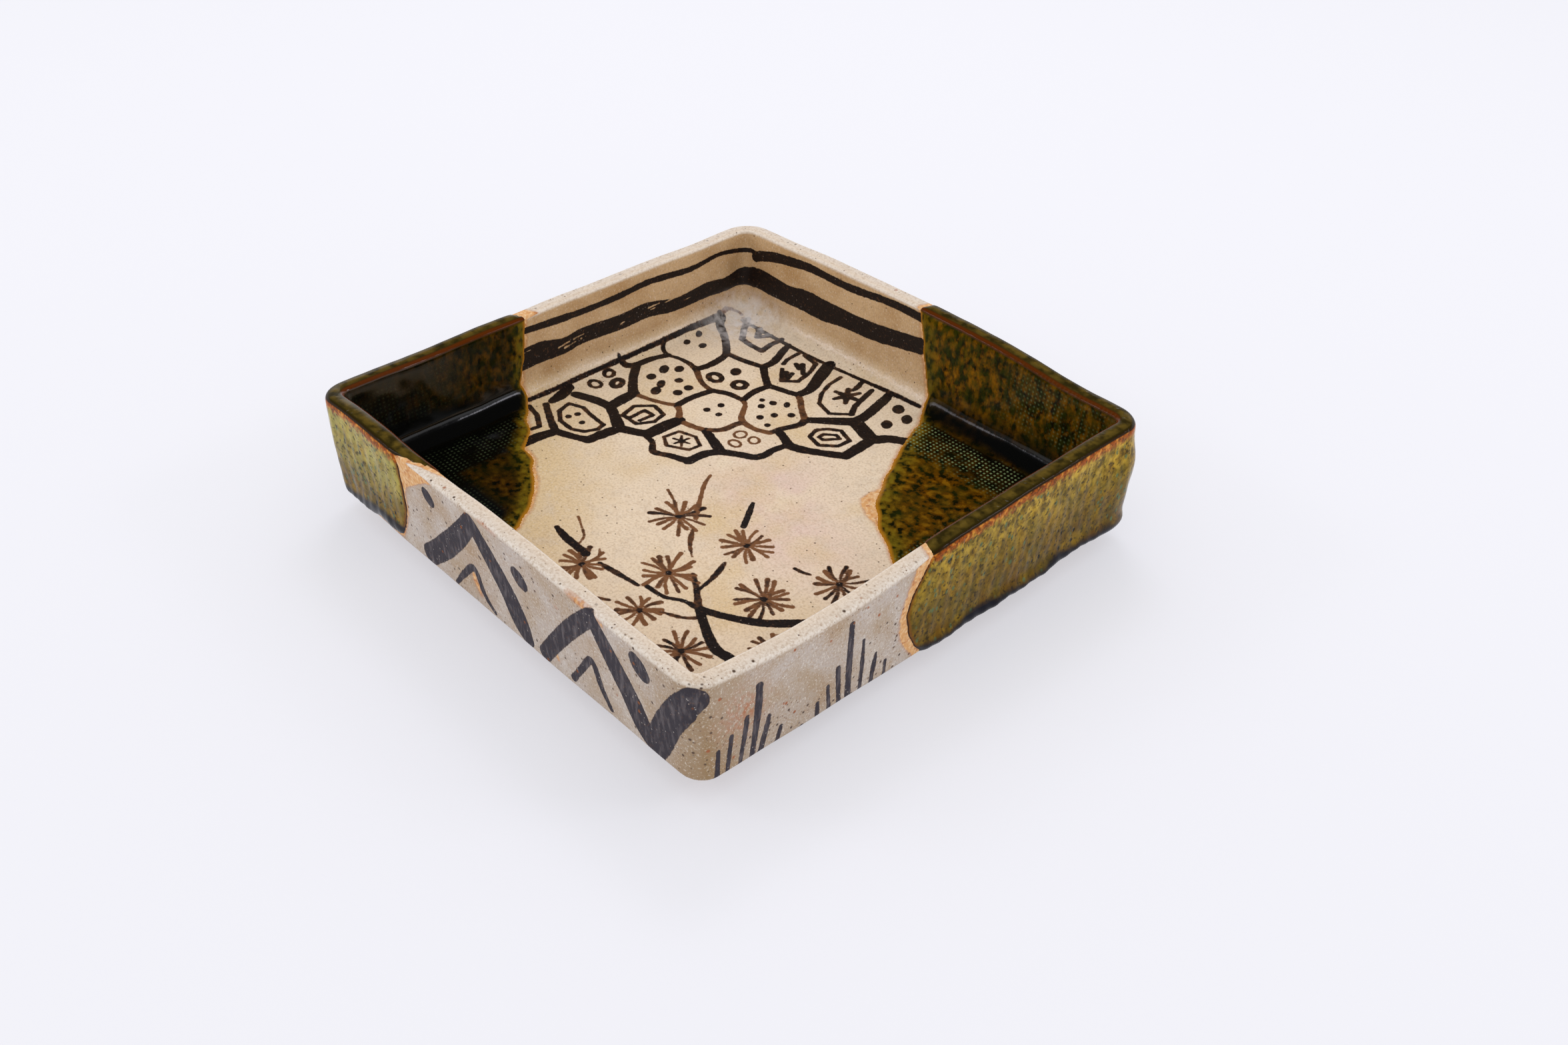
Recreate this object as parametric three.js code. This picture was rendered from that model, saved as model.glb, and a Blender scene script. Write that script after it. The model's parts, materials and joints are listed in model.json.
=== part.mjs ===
// A hand-built square stoneware bowl on four small loop feet, two corners coated in green glaze.
// Millimetres, +Z up. The feet stand on z = 0 and the middle of the bowl is on the Z axis.
// Walls are named by where they face: front is -Y, right is +X, back is +Y, left is -X.

import * as THREE from 'three';

// The slab
const rimSide = 210;
const wallHeight = 42;
const wallThickness = 6;
const floorThickness = 6;
const coveRadius = 8;
const rimArris = 1.2;
const footEdgeRadius = 2.5;

// What hand building does to it. Each wall leans out at the rim, swells in the middle, and has a rim
// that rises and a lower edge that sags there. Each corner is rounded, drawn outward at the rim, drawn
// along X and Y at the foot, and lifted at the rim.
const lean = { front: 1.9, right: 0.5, back: 6, left: 2.5 };
const swell = { front: 1.2, right: 1.6, back: 2, left: 0.6 };
const rimRise = { front: 1.2, right: 1, back: 2.4, left: -1.6 };
const sag = { front: 0, right: 2.6, back: 0, left: 0 };
const cornerRadius = { frontRight: 8, backRight: 10, backLeft: 11, frontLeft: 10 };
const rimDrawn = { frontRight: 2, backRight: 1.2, backLeft: 0, frontLeft: 0 };
const footDrawn = { frontRight: [2, 2], backRight: [-0.4, 8], backLeft: [0, 0], frontLeft: [0, 0] };
const rimLift = { frontRight: 0, backRight: 0, backLeft: -1, frontLeft: -1.8 };
const rimWave = 0.35;

// The feet
const footHeight = 10;
const strapThickness = 4.4;
const strapWidth = 11;
const strapSoftening = 1.1;
const groundFlat = 10;
const lutingFillet = 2.4;
const footInset = 42;

// The green glaze. On the floor its edge lies at these distances from the bowl's corner, at even
// angles from the wall before the corner to the wall after it. On each wall it is measured along the
// wall from the corner, and it runs down over a share of the foot edge to a bead.
const glazeThickness = 0.7;
const glazeEdge = 0.3;
const frontLeftCoat = {
  floor: [84, 73.5, 70, 75.5, 80.5, 82, 78],
  before: { rimInside: 88, rimOutside: 85, swell: 3, foot: 80 },
  after: { rimInside: 74, rimOutside: 54, swell: 4, foot: 51 },
  endShare: 0.15,
  bead: 0.3,
};
const backRightCoat = {
  floor: [102, 98, 95.5, 93, 88, 89, 99],
  before: { rimInside: 110, rimOutside: 109, swell: 9, foot: 110 },
  after: { rimInside: 105, rimOutside: 103, swell: 3, foot: 99 },
  endShare: 0.5,
  bead: 0.9,
};

// Parts that touch are drawn this far apart
const seam = 0.3;

// How finely the curves are cut
const cuts = {
  floor: 4,
  cove: 5,
  insideWall: 5,
  insideArris: 2,
  rim: 1,
  outsideArris: 2,
  outsideWall: 6,
  footEdge: 4,
  underside: 3,
};
const cornerSteps = 6;
const straightSteps = 7;
const loopSteps = 6;
const coatColumns = 30;
const coatFloorRows = 8;
const apexWidth = 0.6;

const half = rimSide / 2;
const floorTop = footHeight + floorThickness;
const rimTop = footHeight + wallHeight;
const quarterTurn = Math.PI / 2;

const walls = ['front', 'right', 'back', 'left'];
const corners = ['frontRight', 'backRight', 'backLeft', 'frontLeft'];
const outward = {
  front: [0, -1],
  right: [1, 0],
  back: [0, 1],
  left: [-1, 0],
  frontRight: [1, -1],
  backRight: [1, 1],
  backLeft: [-1, 1],
  frontLeft: [-1, -1],
};
const cornerShare = 0.12;
const tightestRadius = 2.4;
const edgeFading = 12;

// The section of the bowl, followed from the middle of the inside floor, up the wall, over the rim
// and down to the middle of the underside. Each stretch turns t, from 0 to 1, into an inset from the
// outside face, a height, and for the two flats a share of the way out from the middle.
const sine = (t) => Math.sin(t * quarterTurn);
const cosine = (t) => Math.cos(t * quarterTurn);
const station = (inset, height, spread = 1) => ({ inset, height, spread });
const mix = THREE.MathUtils.lerp;

const stretches = {
  floor: (t) => station(wallThickness + coveRadius, floorTop, t),
  cove: (t) => station(wallThickness + coveRadius * (1 - sine(t)), floorTop + coveRadius * (1 - cosine(t))),
  insideWall: (t) => station(wallThickness, mix(floorTop + coveRadius, rimTop - rimArris, t)),
  insideArris: (t) => station(wallThickness - rimArris * (1 - cosine(t)), rimTop - rimArris * (1 - sine(t))),
  rim: (t) => station(mix(wallThickness - rimArris, rimArris, t), rimTop),
  outsideArris: (t) => station(rimArris * (1 - sine(t)), rimTop - rimArris * (1 - cosine(t))),
  outsideWall: (t) => station(0, mix(rimTop - rimArris, footHeight + footEdgeRadius, t)),
  footEdge: (t) => station(footEdgeRadius * (1 - cosine(t)), footHeight + footEdgeRadius * (1 - sine(t))),
  underside: (t) => station(footEdgeRadius, footHeight, 1 - t),
};
const order = Object.keys(stretches);

// The section as one line: v counts the stretches passed, so 2.5 is halfway up the inside wall
function sectionAt(v) {
  const index = THREE.MathUtils.clamp(Math.floor(v), 0, order.length - 1);
  return stretches[order[index]](v - index);
}

// How far out a wall's outside face stands at a height
function wallFace(wall, height) {
  const down = THREE.MathUtils.clamp((rimTop - height) / wallHeight, 0, 1);
  return half - lean[wall] * down;
}

// One ring of the bowl near a corner, in a frame turned so that the wall before the corner faces
// along the first axis and the wall after it faces along the second
function cornerFrame(corner, { inset, height }) {
  const before = wallFace(walls[corner], height) - inset;
  const after = wallFace(walls[(corner + 1) % 4], height) - inset;
  const radius = Math.max(cornerRadius[corners[corner]] - inset, tightestRadius);
  return { before, after, radius, turn: (corner - 1) * quarterTurn };
}

// A point of the ring: w runs from -0.5 at the middle of one wall, through 0 at the corner, to 0.5
function ringPoint(corner, w, place) {
  const { before, after, radius, turn } = cornerFrame(corner, place);
  const point = new THREE.Vector2();
  const along = (0.5 - Math.abs(w)) / (0.5 - cornerShare);
  if (w < -cornerShare) {
    point.set(before, (after - radius) * along);
  } else if (w > cornerShare) {
    point.set((before - radius) * along, after);
  } else {
    const angle = (w / cornerShare + 1) * quarterTurn / 2;
    point.set(before - radius + radius * Math.cos(angle), after - radius + radius * Math.sin(angle));
  }
  point.rotateAround(new THREE.Vector2(), turn);
  return new THREE.Vector3(point.x * place.spread, point.y * place.spread, place.height);
}

// The potter's hand: walls swell, rims rise and wave, a lower edge sags, and corners are drawn out and
// lifted. The sag fades quickly inward, so the feet meet a flat underside.
function handMade(point) {
  const across = point.x / half;
  const deep = point.y / half;
  const up = THREE.MathUtils.clamp((point.z - floorTop) / (rimTop - floorTop), 0, 1);
  const climbed = THREE.MathUtils.clamp((point.z - footHeight) / wallHeight, 0, 1);
  const wave = rimWave * (Math.sin(5.3 * across + 1.1) + Math.sin(4.1 * deep - 7.7 * across));
  const moved = new THREE.Vector3(0, 0, wave * up);
  for (const wall of walls) {
    const [outX, outY] = outward[wall];
    const reach = Math.max(across * outX + deep * outY, 0);
    const middle = 1 - (across * outY + deep * outX) ** 2;
    moved.x += swell[wall] * outX * reach * middle;
    moved.y += swell[wall] * outY * reach * middle;
    moved.z += rimRise[wall] * reach * middle * up;
    moved.z -= sag[wall] * reach ** edgeFading * middle * (1 - climbed);
  }
  for (const corner of corners) {
    const [outX, outY] = outward[corner];
    const near = (1 + across * outX) * (1 + deep * outY) / 4;
    const [footX, footY] = footDrawn[corner];
    moved.x += outX * mix(footX * near ** 4, rimDrawn[corner] * near ** 2, climbed);
    moved.y += outY * mix(footY * near ** 4, rimDrawn[corner] * near ** 2, climbed);
    moved.z += rimLift[corner] * near ** 4 * up;
  }
  return point.clone().add(moved);
}

const bowlPoint = (corner, w, v) => handMade(ringPoint(corner, w, sectionAt(v)));

// The same skin lifted off the clay along its normal
function liftedPoint(corner, w, v, lift) {
  const step = 0.004;
  const point = bowlPoint(corner, w, v);
  const alongWall = bowlPoint(corner, w + step, v).sub(bowlPoint(corner, w - step, v));
  const alongSection = bowlPoint(corner, w, v + step).sub(bowlPoint(corner, w, v - step));
  return point.addScaledVector(alongWall.cross(alongSection).normalize(), -lift);
}

// Joins rows of points into faces. The rows close on themselves when ring is true.
function faces(rows, ring, flip) {
  const triangles = [];
  for (let i = 0; i + 1 < rows.length; i += 1) {
    const count = ring ? rows[i].length : rows[i].length - 1;
    for (let j = 0; j < count; j += 1) {
      const next = (j + 1) % rows[i].length;
      const quad = [rows[i][j], rows[i][next], rows[i + 1][next], rows[i + 1][j]];
      if (flip) quad.reverse();
      triangles.push([quad[0], quad[1], quad[2]], [quad[0], quad[2], quad[3]]);
    }
  }
  return triangles;
}

function geometryOf(points, triangles) {
  const geometry = new THREE.BufferGeometry();
  geometry.setAttribute('position', new THREE.Float32BufferAttribute(points.flatMap((p) => p.toArray()), 3));
  geometry.setIndex(triangles.flat());
  geometry.computeVertexNormals();
  return geometry;
}

// The slab: rings of the section joined one to the next, with a fan at the middle of each flat
function bowlBody() {
  const levels = [];
  order.forEach((name, index) => {
    for (let i = 0; i < cuts[name]; i += 1) levels.push(index + i / cuts[name]);
  });
  levels.shift();

  const shares = [];
  for (let i = 0; i < straightSteps; i += 1) shares.push(mix(-0.5, -cornerShare, i / straightSteps));
  for (let i = 0; i < cornerSteps; i += 1) shares.push(mix(-cornerShare, cornerShare, i / cornerSteps));
  for (let i = 0; i < straightSteps; i += 1) shares.push(mix(cornerShare, 0.5, i / straightSteps));

  const points = [];
  const rows = levels.map((v) => corners.flatMap((_, corner) => shares.map((w) => {
    points.push(bowlPoint(corner, w, v));
    return points.length - 1;
  })));
  const triangles = faces(rows, true, true);

  const caps = [[rows[0], floorTop, false], [rows.at(-1), footHeight, true]];
  for (const [row, height, flip] of caps) {
    points.push(new THREE.Vector3(0, 0, height));
    const middle = points.length - 1;
    row.forEach((index, j) => {
      const next = row[(j + 1) % row.length];
      triangles.push(flip ? [middle, next, index] : [middle, index, next]);
    });
  }
  return geometryOf(points, triangles);
}

// Where w lies for a distance walked round the ring from the middle of the corner
function shareAt(corner, place, distance, sign) {
  const { before, after, radius } = cornerFrame(corner, place);
  const arc = radius * place.spread * quarterTurn / 2;
  const straight = (sign < 0 ? after : before) * place.spread - radius * place.spread;
  if (distance < arc) return sign * cornerShare * distance / arc;
  return sign * (cornerShare + (0.5 - cornerShare) * (distance - arc) / straight);
}

// Where the coat's edge crosses the floor at a distance inward from one wall: how far it then is
// from the other wall. The angle is found by halving.
function floorEdge(radii, inward) {
  const curve = new THREE.SplineCurve(radii.map((radius, i) => new THREE.Vector2(i, radius)));
  const radiusAt = (angle) => curve.getPoint(angle / quarterTurn).y;
  let low = 0;
  let high = quarterTurn / 2;
  for (let i = 0; i < 30; i += 1) {
    const angle = (low + high) / 2;
    if (radiusAt(angle) * Math.sin(angle) < inward) low = angle;
    else high = angle;
  }
  return radiusAt(low) * Math.cos(low);
}

// How far the coat reaches at v along one wall, from the corner of the ring there
function coatReach(radii, side, v) {
  const { inset, spread } = sectionAt(v);
  const inward = half - spread * (half - inset);
  const rim = order.indexOf('rim');
  const foot = order.indexOf('footEdge');
  if (v <= 1) return floorEdge(radii, inward) - inward;
  const crease = floorEdge(radii, wallThickness + coveRadius);
  if (v < rim) return mix(crease, side.rimInside, (v - 1) / (rim - 1)) - inward;
  if (v < rim + 1) return mix(side.rimInside, side.rimOutside, v - rim) - inward;
  const down = (v - rim - 1) / (foot - rim - 1);
  return mix(side.rimOutside, side.foot, down) + side.swell * Math.sin(Math.PI * Math.min(down, 1)) - inward;
}

// A coat of glaze: a patch of the bowl's skin, lifted off by the seam, with a soft edge and a bead
// along the line where it ran to
function glazeCoat(corner, { floor, before, after, endShare, bead }) {
  const nearest = floor[(floor.length - 1) / 2] / Math.SQRT2;
  const start = (half - nearest) / (half - wallThickness - coveRadius);
  const foot = order.indexOf('footEdge');
  const stop = foot + endShare;
  const levels = [];
  for (let i = 0; i < coatFloorRows; i += 1) levels.push(mix(start, 1, i / coatFloorRows));
  order.slice(1, foot + 1).forEach((name, index) => {
    for (let i = 0; i < cuts[name]; i += 1) levels.push(index + 1 + i / cuts[name]);
  });
  while (levels.at(-1) > stop - 0.05) levels.pop();
  levels.push(stop);

  const points = [];
  const last = levels.length - 1;
  const skin = (top) => levels.map((v, i) => {
    const place = sectionAt(v);
    const from = shareAt(corner, place, Math.max(coatReach(floor, before, v), apexWidth), -1);
    const to = shareAt(corner, place, Math.max(coatReach([...floor].reverse(), after, v), apexWidth), 1);
    const row = [];
    for (let j = 0; j <= coatColumns; j += 1) {
      const w = mix(from, to, j / coatColumns);
      const rimmed = i === 0 || i === last || j === 0 || j === coatColumns;
      const roll = bead * Math.exp(-(((v - stop + 0.25) / 0.22) ** 2));
      const thickness = rimmed ? glazeEdge : glazeThickness + roll;
      points.push(liftedPoint(corner, w, v, top ? seam + thickness : seam));
      row.push(points.length - 1);
    }
    return row;
  });

  const outside = skin(true);
  const inside = skin(false);
  const triangles = [...faces(outside, false, true), ...faces(inside, false, false)];
  const border = (rows) => [
    ...rows[0],
    ...rows.slice(1).map((row) => row.at(-1)),
    ...rows.at(-1).slice(0, -1).reverse(),
    ...rows.slice(1, -1).map((row) => row[0]).reverse(),
  ];
  triangles.push(...faces([border(outside), border(inside)], true, false));
  return geometryOf(points, triangles);
}

// A foot: a strap of clay bent into a half loop, its ends smeared on to the underside and its
// lowest part ground flat
function footGeometry() {
  const top = footHeight - seam;
  const outer = Math.hypot(top, groundFlat / 2);
  const inner = outer - strapThickness;
  const flatFrom = Math.atan2(top, groundFlat / 2);
  const bends = [];
  for (let i = 0; i < loopSteps; i += 1) bends.push(mix(0, flatFrom, i / loopSteps));
  for (let i = 0; i <= 4; i += 1) bends.push(mix(flatFrom, Math.PI - flatFrom, i / 4));
  for (let i = loopSteps - 1; i >= 0; i -= 1) bends.push(Math.PI - mix(0, flatFrom, i / loopSteps));

  const points = [];
  const rows = bends.map((bend) => {
    const depth = outer * Math.sin(bend);
    const smear = lutingFillet * Math.max(0, 1 - depth / (2 * lutingFillet)) ** 2;
    const low = inner - smear / 2;
    const high = outer + smear;
    const side = strapWidth / 2 + smear;
    const soft = strapSoftening;
    const section = [
      [low + soft, -side], [high - soft, -side], [high, -side + soft], [high, 0], [high, side - soft],
      [high - soft, side], [low + soft, side], [low, side - soft], [low, 0], [low, -side + soft],
    ];
    return section.map(([reach, across]) => {
      const height = Math.max(top - reach * Math.sin(bend), 0);
      points.push(new THREE.Vector3(reach * Math.cos(bend), across, height));
      return points.length - 1;
    });
  });
  const triangles = faces(rows, true, true);
  for (const [row, flip] of [[rows[0], false], [rows.at(-1), true]]) {
    for (let j = 1; j + 1 < row.length; j += 1) {
      triangles.push(flip ? [row[0], row[j + 1], row[j]] : [row[0], row[j], row[j + 1]]);
    }
  }
  return geometryOf(points, triangles);
}

const paleGlaze = new THREE.MeshStandardMaterial({ color: 0xd2ba90, roughness: 0.28, metalness: 0 });
const bareClay = new THREE.MeshStandardMaterial({ color: 0xc9a27c, roughness: 0.8, metalness: 0 });
const greenGlaze = new THREE.MeshStandardMaterial({ color: 0x3c431c, roughness: 0.12, metalness: 0 });

const bowl = new THREE.Group();

function add(name, geometry, material) {
  const mesh = new THREE.Mesh(geometry, material);
  mesh.name = name;
  bowl.add(mesh);
  return mesh;
}

add('bowl_body', bowlBody(), paleGlaze);
add('green_glaze_front_left', glazeCoat(corners.indexOf('frontLeft'), frontLeftCoat), greenGlaze);
add('green_glaze_back_right', glazeCoat(corners.indexOf('backRight'), backRightCoat), greenGlaze);

const footPlaces = { front_right: [1, -1], back_right: [1, 1], back_left: [-1, 1], front_left: [-1, -1] };
for (const [name, [right, back]] of Object.entries(footPlaces)) {
  const foot = add(`foot_${name}`, footGeometry(), bareClay);
  foot.position.set(right * (half - footInset), back * (half - footInset), 0);
  foot.rotation.z = Math.atan2(back, right) + quarterTurn;
}

// The middle of the bowl's outline stands on the Z axis
const outline = new THREE.Box3().setFromObject(bowl).getCenter(new THREE.Vector3());
for (const mesh of bowl.children) mesh.position.sub(new THREE.Vector3(outline.x, outline.y, 0));

export default bowl;
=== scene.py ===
import json
import math

import bpy
import numpy as np
from mathutils import Matrix, Vector

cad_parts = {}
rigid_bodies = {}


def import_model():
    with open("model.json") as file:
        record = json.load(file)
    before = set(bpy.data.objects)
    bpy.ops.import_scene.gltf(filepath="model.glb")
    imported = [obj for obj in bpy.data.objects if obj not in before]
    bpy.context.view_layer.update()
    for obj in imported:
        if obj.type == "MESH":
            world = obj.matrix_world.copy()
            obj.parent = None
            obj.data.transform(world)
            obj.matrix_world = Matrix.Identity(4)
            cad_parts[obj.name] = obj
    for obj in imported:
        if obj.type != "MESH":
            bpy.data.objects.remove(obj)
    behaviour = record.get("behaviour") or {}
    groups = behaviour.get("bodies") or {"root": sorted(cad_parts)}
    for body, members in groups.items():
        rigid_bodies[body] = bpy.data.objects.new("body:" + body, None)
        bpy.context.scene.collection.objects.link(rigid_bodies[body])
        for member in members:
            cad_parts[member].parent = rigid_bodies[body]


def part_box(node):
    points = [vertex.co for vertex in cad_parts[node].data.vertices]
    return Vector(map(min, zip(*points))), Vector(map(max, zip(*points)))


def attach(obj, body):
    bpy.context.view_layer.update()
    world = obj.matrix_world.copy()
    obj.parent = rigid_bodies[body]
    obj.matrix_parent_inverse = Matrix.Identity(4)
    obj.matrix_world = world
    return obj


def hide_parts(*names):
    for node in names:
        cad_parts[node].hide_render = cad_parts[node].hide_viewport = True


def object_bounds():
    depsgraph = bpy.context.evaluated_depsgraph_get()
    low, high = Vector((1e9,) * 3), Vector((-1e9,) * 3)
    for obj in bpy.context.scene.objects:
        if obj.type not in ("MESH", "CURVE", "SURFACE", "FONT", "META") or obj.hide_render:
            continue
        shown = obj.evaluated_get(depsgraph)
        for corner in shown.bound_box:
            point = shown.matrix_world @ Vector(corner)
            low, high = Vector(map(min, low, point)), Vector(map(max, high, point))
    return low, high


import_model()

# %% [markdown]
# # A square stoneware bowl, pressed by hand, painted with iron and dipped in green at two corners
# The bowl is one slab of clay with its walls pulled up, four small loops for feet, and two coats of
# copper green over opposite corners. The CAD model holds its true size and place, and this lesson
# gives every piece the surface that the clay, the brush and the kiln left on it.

MM = 0.001
CAD_BOX = [list(corner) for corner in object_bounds()]


def only(piece):
    """Selects this piece alone and makes it the active one."""
    for other in bpy.context.selected_objects:
        other.select_set(False)
    piece.select_set(True)
    bpy.context.view_layer.objects.active = piece


def settle(piece, name):
    """Names a new piece and moves its place and size into its mesh."""
    only(piece)
    piece.name = name
    piece.data.name = name
    bpy.ops.object.transform_apply(location=True, rotation=True, scale=True)
    return piece


def read(things, name, width=1):
    """One value of every vertex, edge or face, as a table with a row for each."""
    values = np.zeros(len(things) * width)
    things.foreach_get(name, values)
    return values.reshape(-1, width) if width > 1 else values


def places(mesh):
    """Where the vertices are, in millimetres."""
    return read(mesh.vertices, "co", 3) / MM


def put(mesh, points):
    """Moves the vertices to these places, given in millimetres."""
    mesh.vertices.foreach_set("co", (points * MM).ravel())
    mesh.update()


def pick(piece, test, kind="FACE"):
    """Opens edit mode with the faces whose middle and normal pass the test selected, or the edges
    whose two ends pass it."""
    only(piece)
    bpy.ops.object.mode_set(mode="EDIT")
    bpy.ops.mesh.select_mode(type=kind)
    bpy.ops.mesh.select_all(action="DESELECT")
    bpy.ops.object.mode_set(mode="OBJECT")
    mesh = piece.data
    if kind == "FACE":
        chosen = test(read(mesh.polygons, "center", 3).T / MM, read(mesh.polygons, "normal", 3).T)
        mesh.polygons.foreach_set("select", chosen)
    else:
        ends = np.zeros(len(mesh.edges) * 2, int)
        mesh.edges.foreach_get("vertices", ends)
        first, second = places(mesh)[ends.reshape(-1, 2).T]
        chosen = test(first.T, second.T)
        mesh.edges.foreach_set("select", chosen)
    bpy.ops.object.mode_set(mode="EDIT")
    return int(chosen.sum())


def done():
    bpy.ops.object.mode_set(mode="OBJECT")


def note(mesh, **values):
    """Writes numbers on every vertex, each kind in a layer of its own, for the material to read."""
    for name, numbers in values.items():
        layer = mesh.attributes.new(name, "FLOAT", "POINT")
        layer.data.foreach_set("value", np.asarray(numbers, np.float32))


print("CAD box in mm:", [[round(v / MM, 2) for v in corner] for corner in CAD_BOX])

# %% [markdown]
# ## The camera
# It stands where the photographer stood: over the near corner, 37 degrees above the table, with the
# long lens and the slight tilt of the picture. It comes first, because every other cell is judged
# through it.

# %% Camera
AZIMUTH, ELEVATION, ROLL = 45.91, 37.02, 1.81
AIM_HEIGHT = 10
DISTANCE = 599.73
SHIFT_RIGHT, SHIFT_UP = 20.34, -8.5
PHOTO_WIDTH = 2352
FOCAL_PIXELS = 2408.07
SENSOR = 36

turn, rise, roll = (math.radians(angle) for angle in (AZIMUTH, ELEVATION, ROLL))
back = Vector((math.sin(turn) * math.cos(rise), -math.cos(turn) * math.cos(rise), math.sin(rise)))
level = Vector((math.cos(turn), math.sin(turn), 0))
above = back.cross(level)
right = math.cos(roll) * level + math.sin(roll) * above
upward = math.cos(roll) * above - math.sin(roll) * level
stand = back * DISTANCE + right * SHIFT_RIGHT + upward * SHIFT_UP + Vector((0, 0, AIM_HEIGHT))

camera = bpy.data.objects.new("camera", bpy.data.cameras.new("camera"))
bpy.context.scene.collection.objects.link(camera)
camera.data.sensor_width = SENSOR
camera.data.lens = FOCAL_PIXELS / PHOTO_WIDTH * SENSOR
camera.matrix_world = Matrix((right, upward, back)).transposed().to_4x4()
camera.location = stand * MM
bpy.context.scene.camera = camera
print("camera at", [round(v, 4) for v in camera.location], "with a lens of", round(camera.data.lens, 2))

# %% [markdown]
# ## The slab, pressed and pulled up
# On the real bowl a sheet of clay is pressed over a square mould. A box is added at the bowl's size,
# its top is inset by the wall's thickness and pushed down, and every long edge is bevelled to its own
# radius. All of this stays square and upright: the lean, the round corners and the potter's hand come
# later, so that every cut can be a straight one.

# %% A pan from a box
SIDE, WALL_HEIGHT, WALL, FLOOR = 210, 42, 6, 6
FOOT_HEIGHT = 10
COVE, ARRIS, FOOT_EDGE = 8, 1.2, 2.5
HALF = SIDE / 2
FLOOR_TOP = FOOT_HEIGHT + FLOOR
RIM_TOP = FOOT_HEIGHT + WALL_HEIGHT
FOOT_TOP = FOOT_HEIGHT + FOOT_EDGE
FLOOR_EDGE = HALF - WALL - COVE

middle_height = FOOT_HEIGHT + WALL_HEIGHT / 2
bpy.ops.mesh.primitive_cube_add(size=1, location=(0, 0, middle_height * MM))
slab = bpy.context.object
slab.scale = (SIDE * MM, SIDE * MM, WALL_HEIGHT * MM)
settle(slab, "slab")

pick(slab, lambda middle, normal: normal[2] > 0.9)
bpy.ops.mesh.inset(thickness=WALL * MM)
bpy.ops.mesh.extrude_region_move(TRANSFORM_OT_translate={"value": (0, 0, -(WALL_HEIGHT - FLOOR) * MM)})
done()


def reach_of(point):
    return np.maximum(abs(point[0]), abs(point[1]))


def loop_at(height):
    """Edges that run round the pan at this height."""
    def test(first, second):
        level_edge = (abs(first[2] - height) < 0.1) & (abs(second[2] - height) < 0.1)
        return level_edge & (abs(reach_of(first) - reach_of(second)) < 0.1)
    return test


for height, radius, segments in ((FLOOR_TOP, COVE, 8), (RIM_TOP, ARRIS, 3), (FOOT_HEIGHT, FOOT_EDGE, 5)):
    pick(slab, loop_at(height), "EDGE")
    bpy.ops.mesh.bevel(offset=radius * MM, segments=segments, affect="EDGES")
    done()
print("pan:", len(slab.data.polygons), "faces")

# %% Straight cuts that give the clay an even grid
GRID = 2.4


def cut(axis, where, faces=None):
    """Cuts the slab by planes across an axis, through all of it or through the faces given."""
    direction = [0, 0, 0]
    direction[axis] = 1
    for place in where:
        if faces:
            pick(slab, faces)
        else:
            bpy.ops.mesh.select_all(action="SELECT")
        point = [value * place * MM for value in direction]
        bpy.ops.mesh.bisect(plane_co=point, plane_no=direction)


def evenly(start, stop):
    """Places between two ends, about one grid step apart, without the ends."""
    return np.linspace(start, stop, round(abs(stop - start) / GRID) + 1)[1:-1]


across = np.linspace(-FLOOR_EDGE, FLOOR_EDGE, round(2 * FLOOR_EDGE / GRID) + 1)
only(slab)
bpy.ops.object.mode_set(mode="EDIT")
bpy.ops.mesh.select_mode(type="FACE")
cut(0, across)
cut(1, across)
cut(2, evenly(FLOOR_TOP + COVE, RIM_TOP - ARRIS))
to_the_wall = evenly(FLOOR_EDGE, HALF)
for side in (-1, 1):
    cut(0, side * to_the_wall, lambda middle, normal: abs(middle[1]) > abs(middle[0]))
    cut(1, side * to_the_wall, lambda middle, normal: abs(middle[0]) > abs(middle[1]))
cut(2, evenly(FOOT_TOP, FLOOR_TOP + COVE), lambda middle, normal: reach_of(middle) > HALF - 1)
done()
print("grid:", len(slab.data.polygons), "faces")

# %% [markdown]
# ## From the square pan to the bowl
# Three steps take a point of the pan to its place on the bowl. The corners are rounded and the walls
# lean, then the potter's hand swells the walls, waves the rim and lets it dip by the near end of the
# right wall, and last the skin gets the faint unevenness of pressed clay. The first step also tells
# how far along its wall a point lies, and that is where the brushwork and the edges of the green are
# measured.

# %% Rounded corners and leaning walls
LEAN = {"front": 1.9, "right": 0.5, "back": 6, "left": 2.5}
CORNER = {"front_right": 8, "back_right": 10, "back_left": 11, "front_left": 10}
TIGHTEST = 2.4


def by_wall(table, x, y):
    """A table's value for the side wall nearer to each point, and for the front or back wall."""
    return np.where(x > 0, table["right"], table["left"]), np.where(y > 0, table["back"], table["front"])


def true_arc(inset, z, centre_inset, centre_z, radius, inside):
    """Brings points that a cut left on a chord out to the true round."""
    away = np.maximum(np.hypot(inset - centre_inset, z - centre_z), 1e-6)
    new_inset = centre_inset + (inset - centre_inset) * radius / away
    new_z = centre_z + (z - centre_z) * radius / away
    return np.where(inside, new_inset, inset), np.where(inside, new_z, z)


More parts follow.
